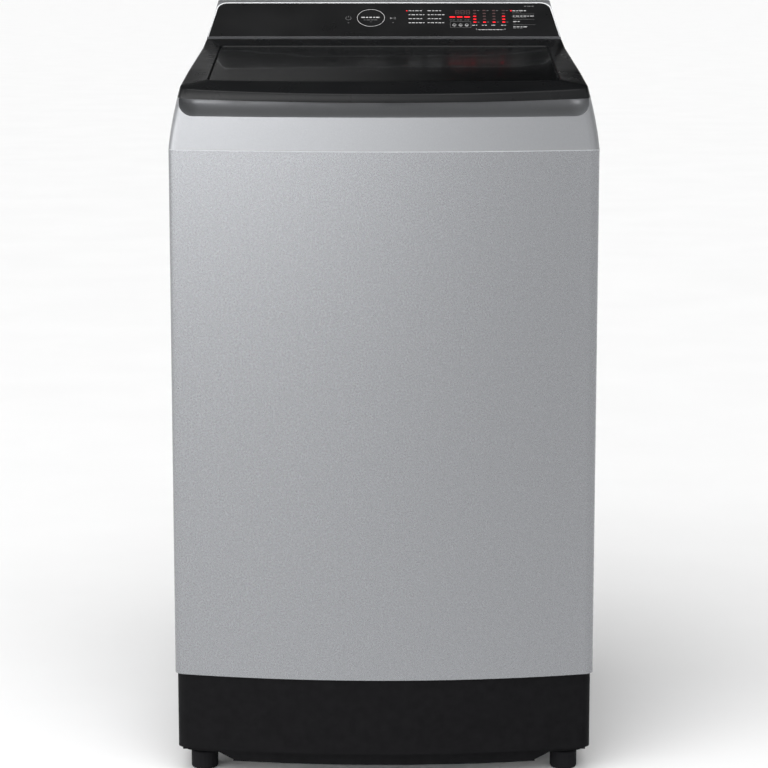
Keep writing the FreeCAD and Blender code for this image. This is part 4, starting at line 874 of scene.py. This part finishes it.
def rear_pressings():
    """Three tall stiffening panels, and three groups of slots near the foot."""
    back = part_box("rear_panel")[1][1]
    columns, slots, slot_foot, slot_pitch = (-0.150, 0, 0.150), 6, 0.205, 0.020
    bm = bmesh.new()
    for x in columns:
        pressed(bm, 0.090, 0.360, 0.020, 0.0025, x, 0.540, back)
    for x in columns:
        for slot in range(slots):
            pressed(bm, 0.070, 0.010, 0.0048, 0.0022, x, slot_foot + slot_pitch * slot, back)
    piece("rear_pressings", bm, MATERIALS["zinc_sheet"], "cabinet",
          smooth_angle=50)


PORT_SIDES = 48


def port_threads():
    """Ridges round the two inlet ports, for the hoses' nuts."""
    core, root, tip, pitch, length = 0.0130, 0.0133, 0.0141, 0.0020, 0.0110
    profile = [(core, 0.0)]
    for ridge in range(5):
        start = 0.0005 + pitch * ridge
        profile += [(root, start), (tip, start + 0.0007), (tip, start + 0.0011),
                    (root, start + 0.0018)]
    profile += [(core, length)]
    bm = bmesh.new()
    for port in ("cold_inlet", "hot_inlet"):
        x, y, z = MOUNTS[port]
        place = (Matrix.Translation((x, y - 0.0045, z))
                 @ Matrix.Rotation(math.radians(-90), 4, "X"))
        made = lathe(bm, profile, PORT_SIDES, place)
        bridge(bm, made[:PORT_SIDES], made[-PORT_SIDES:])
    piece("port_threads", bm, MATERIALS["valve_blue"], "cabinet")


def lint_net():
    """The lint filter's net, bent to the basket's wall: a border with bars across and down."""
    bm = bmesh.new()
    inner, thick, low, high = 0.2035, 0.0012, 0.508, 0.632
    reach = 0.036 / 0.205

    def bar(start, end, foot, head):
        rows = []
        for radius, z in ((inner, foot), (inner, head), (inner + thick, head), (inner + thick, foot)):
            rows.append([bm.verts.new((radius * math.sin(start + (end - start) * i / 6),
                                       TUB_Y + radius * math.cos(start + (end - start) * i / 6), z))
                         for i in range(7)])
        for here, there in zip(rows, rows[1:] + rows[:1]):
            bridge(bm, here, there, closed=False)
        for last in (0, -1):
            bm.faces.new([row[last] for row in rows])

    across, down, half_height, half_angle = 10, 8, 0.0009, 0.004
    for step in range(across + 1):
        level = low + (high - low) * step / across
        bar(-reach, reach, level - half_height, level + half_height)
    for step in range(down + 1):
        angle = -reach + 2 * reach * step / down
        bar(angle - half_angle, angle + half_angle, low, high)
    piece("lint_net", bm, MATERIALS["white_plastic"], "basket")


# ---------------------------------------------------------------- studio

CAMERA_PLACE = (0.0, -3.499, 1.0585)
CAMERA_PITCH = math.radians(80.5)
CAMERA_LENS = 121.9      # millimetres, on a 36 mm sensor
WORLD_LEVEL = 1.1        # the room all round
WORLD_SHADE = 0.002      # overhead and high up behind, fading from left to right
WORLD_SHADE_LEFT = 0.12
WORLD_GLOW = 9.5         # the brighter wall at the front left


def camera():
    data = bpy.data.cameras.new("camera")
    data.lens = CAMERA_LENS
    data.sensor_width = 36
    data.clip_end = 120
    obj = bpy.data.objects.new("camera", data)
    obj.location = CAMERA_PLACE
    obj.rotation_euler = (CAMERA_PITCH, 0, 0)
    bpy.context.scene.collection.objects.link(obj)
    bpy.context.scene.camera = obj


def softbox(name, place, target, width, height, power):
    """A soft rectangular light aimed at a point; the camera doesn't see it."""
    data = bpy.data.lights.new(name, "AREA")
    data.shape = "RECTANGLE"
    data.size, data.size_y = width, height
    data.energy = power
    obj = bpy.data.objects.new(name, data)
    obj.location = place
    obj.rotation_euler = (Vector(target) - Vector(place)).to_track_quat("-Z", "Y").to_euler()
    obj.visible_camera = False
    bpy.context.scene.collection.objects.link(obj)


def sunlight(azimuth, elevation, spread, strength):
    """A very soft directional light; azimuth 0 comes from the front, positive from the right."""
    data = bpy.data.lights.new("sunlight", "SUN")
    data.angle = math.radians(spread)
    data.energy = strength
    turn, rise = math.radians(azimuth), math.radians(elevation)
    back = Vector((math.sin(turn) * math.cos(rise), -math.cos(turn) * math.cos(rise), math.sin(rise)))
    obj = bpy.data.objects.new("sunlight", data)
    obj.rotation_euler = back.to_track_quat("Z", "Y").to_euler()
    bpy.context.scene.collection.objects.link(obj)


def floor():
    bm = bmesh.new()
    rim = ring_of(bm, 58, 0, 96)
    bm.faces.new(rim)
    paper = Surface("studio_floor", Roughness=0.9, Specular_IOR_Level=0.1)
    paper.color(paper.noise(3), (0.86, 0.86, 0.86), (0.88, 0.88, 0.88))
    piece("studio_floor", bm, paper.material, None)


def world():
    """A bright room with a brighter wall at the front left, near the floor.

    It is dark overhead and high up behind, so that the black lid and console stay dark.
    """
    scene_world = bpy.data.worlds.new("studio")
    bpy.context.scene.world = scene_world
    scene_world.use_nodes = True
    nodes, links = scene_world.node_tree.nodes, scene_world.node_tree.links
    direction = nodes.new("ShaderNodeTexCoord").outputs["Generated"]
    axes = nodes.new("ShaderNodeSeparateXYZ")
    links.new(direction, axes.inputs[0])

    def span(value, low, high, start, end):
        node = nodes.new("ShaderNodeMapRange")
        node.interpolation_type = "SMOOTHSTEP"
        links.new(value, node.inputs["Value"])
        for socket, number in (("From Min", low), ("From Max", high), ("To Min", start), ("To Max", end)):
            node.inputs[socket].default_value = number
        return node.outputs[0]

    def combine(operation, one, other):
        node = nodes.new("ShaderNodeMath")
        node.operation = operation
        links.new(one, node.inputs[0])
        links.new(other, node.inputs[1])
        return node.outputs[0]

    # Directions: X to the right, Y to the back, Z up. Each span fades between two of their values.
    behind = span(axes.outputs["Y"], -0.25, 0.35, 0.0, 1.0)
    risen = span(axes.outputs["Z"], 0.15, 0.21, 0.0, 1.0)
    overhead = span(axes.outputs["Z"], 0.72, 0.88, 0.0, 1.0)
    dark = combine("MAXIMUM", combine("MULTIPLY", behind, risen), overhead)
    shade = span(axes.outputs["X"], -0.09, 0.05, WORLD_SHADE_LEFT, WORLD_SHADE)
    room = combine("MAXIMUM", span(dark, 0.0, 1.0, WORLD_LEVEL, 0.0), shade)
    leftward = span(axes.outputs["X"], -0.6, 0.5, 1.0, 0.0)
    forward = span(axes.outputs["Y"], -0.1, 0.35, 1.0, 0.0)
    above_floor = span(axes.outputs["Z"], 0.0, 0.08, 0.0, 1.0)
    below_top = span(axes.outputs["Z"], 0.10, 0.34, WORLD_GLOW, 0.0)
    sideways = combine("MULTIPLY", leftward, forward)
    glow = combine("MULTIPLY", sideways, combine("MULTIPLY", above_floor, below_top))
    level = combine("ADD", room, glow)
    backdrop = nodes["Background"]
    links.new(level, backdrop.inputs["Strength"])
    backdrop.inputs["Color"].default_value = (1, 1, 1, 1)


def studio():
    bpy.context.scene.view_settings.view_transform = "Standard"
    camera()
    world()
    floor()
    sunlight(-8, 62, 60, 2.1)
    softbox("top_strip", (-0.3, -1.3, 2.3), (0, -0.27, 0.88), 1.8, 0.10, 7)
    softbox("left_edge", (-1.5, -0.2, 0.75), (0, -0.2, 0.75), 0.7, 1.5, 0.8)
    softbox("right_edge", (1.5, -0.2, 0.75), (0, -0.2, 0.75), 0.7, 1.5, 0.2)


finish_cad_nodes()
console_graphics()
lid_shell()
lid_pane()
painted_seam_shadow()
basket_wall()
pulsator_wheel()
suspension_coils()
feet()
rear_pressings()
port_threads()
lint_net()
studio()
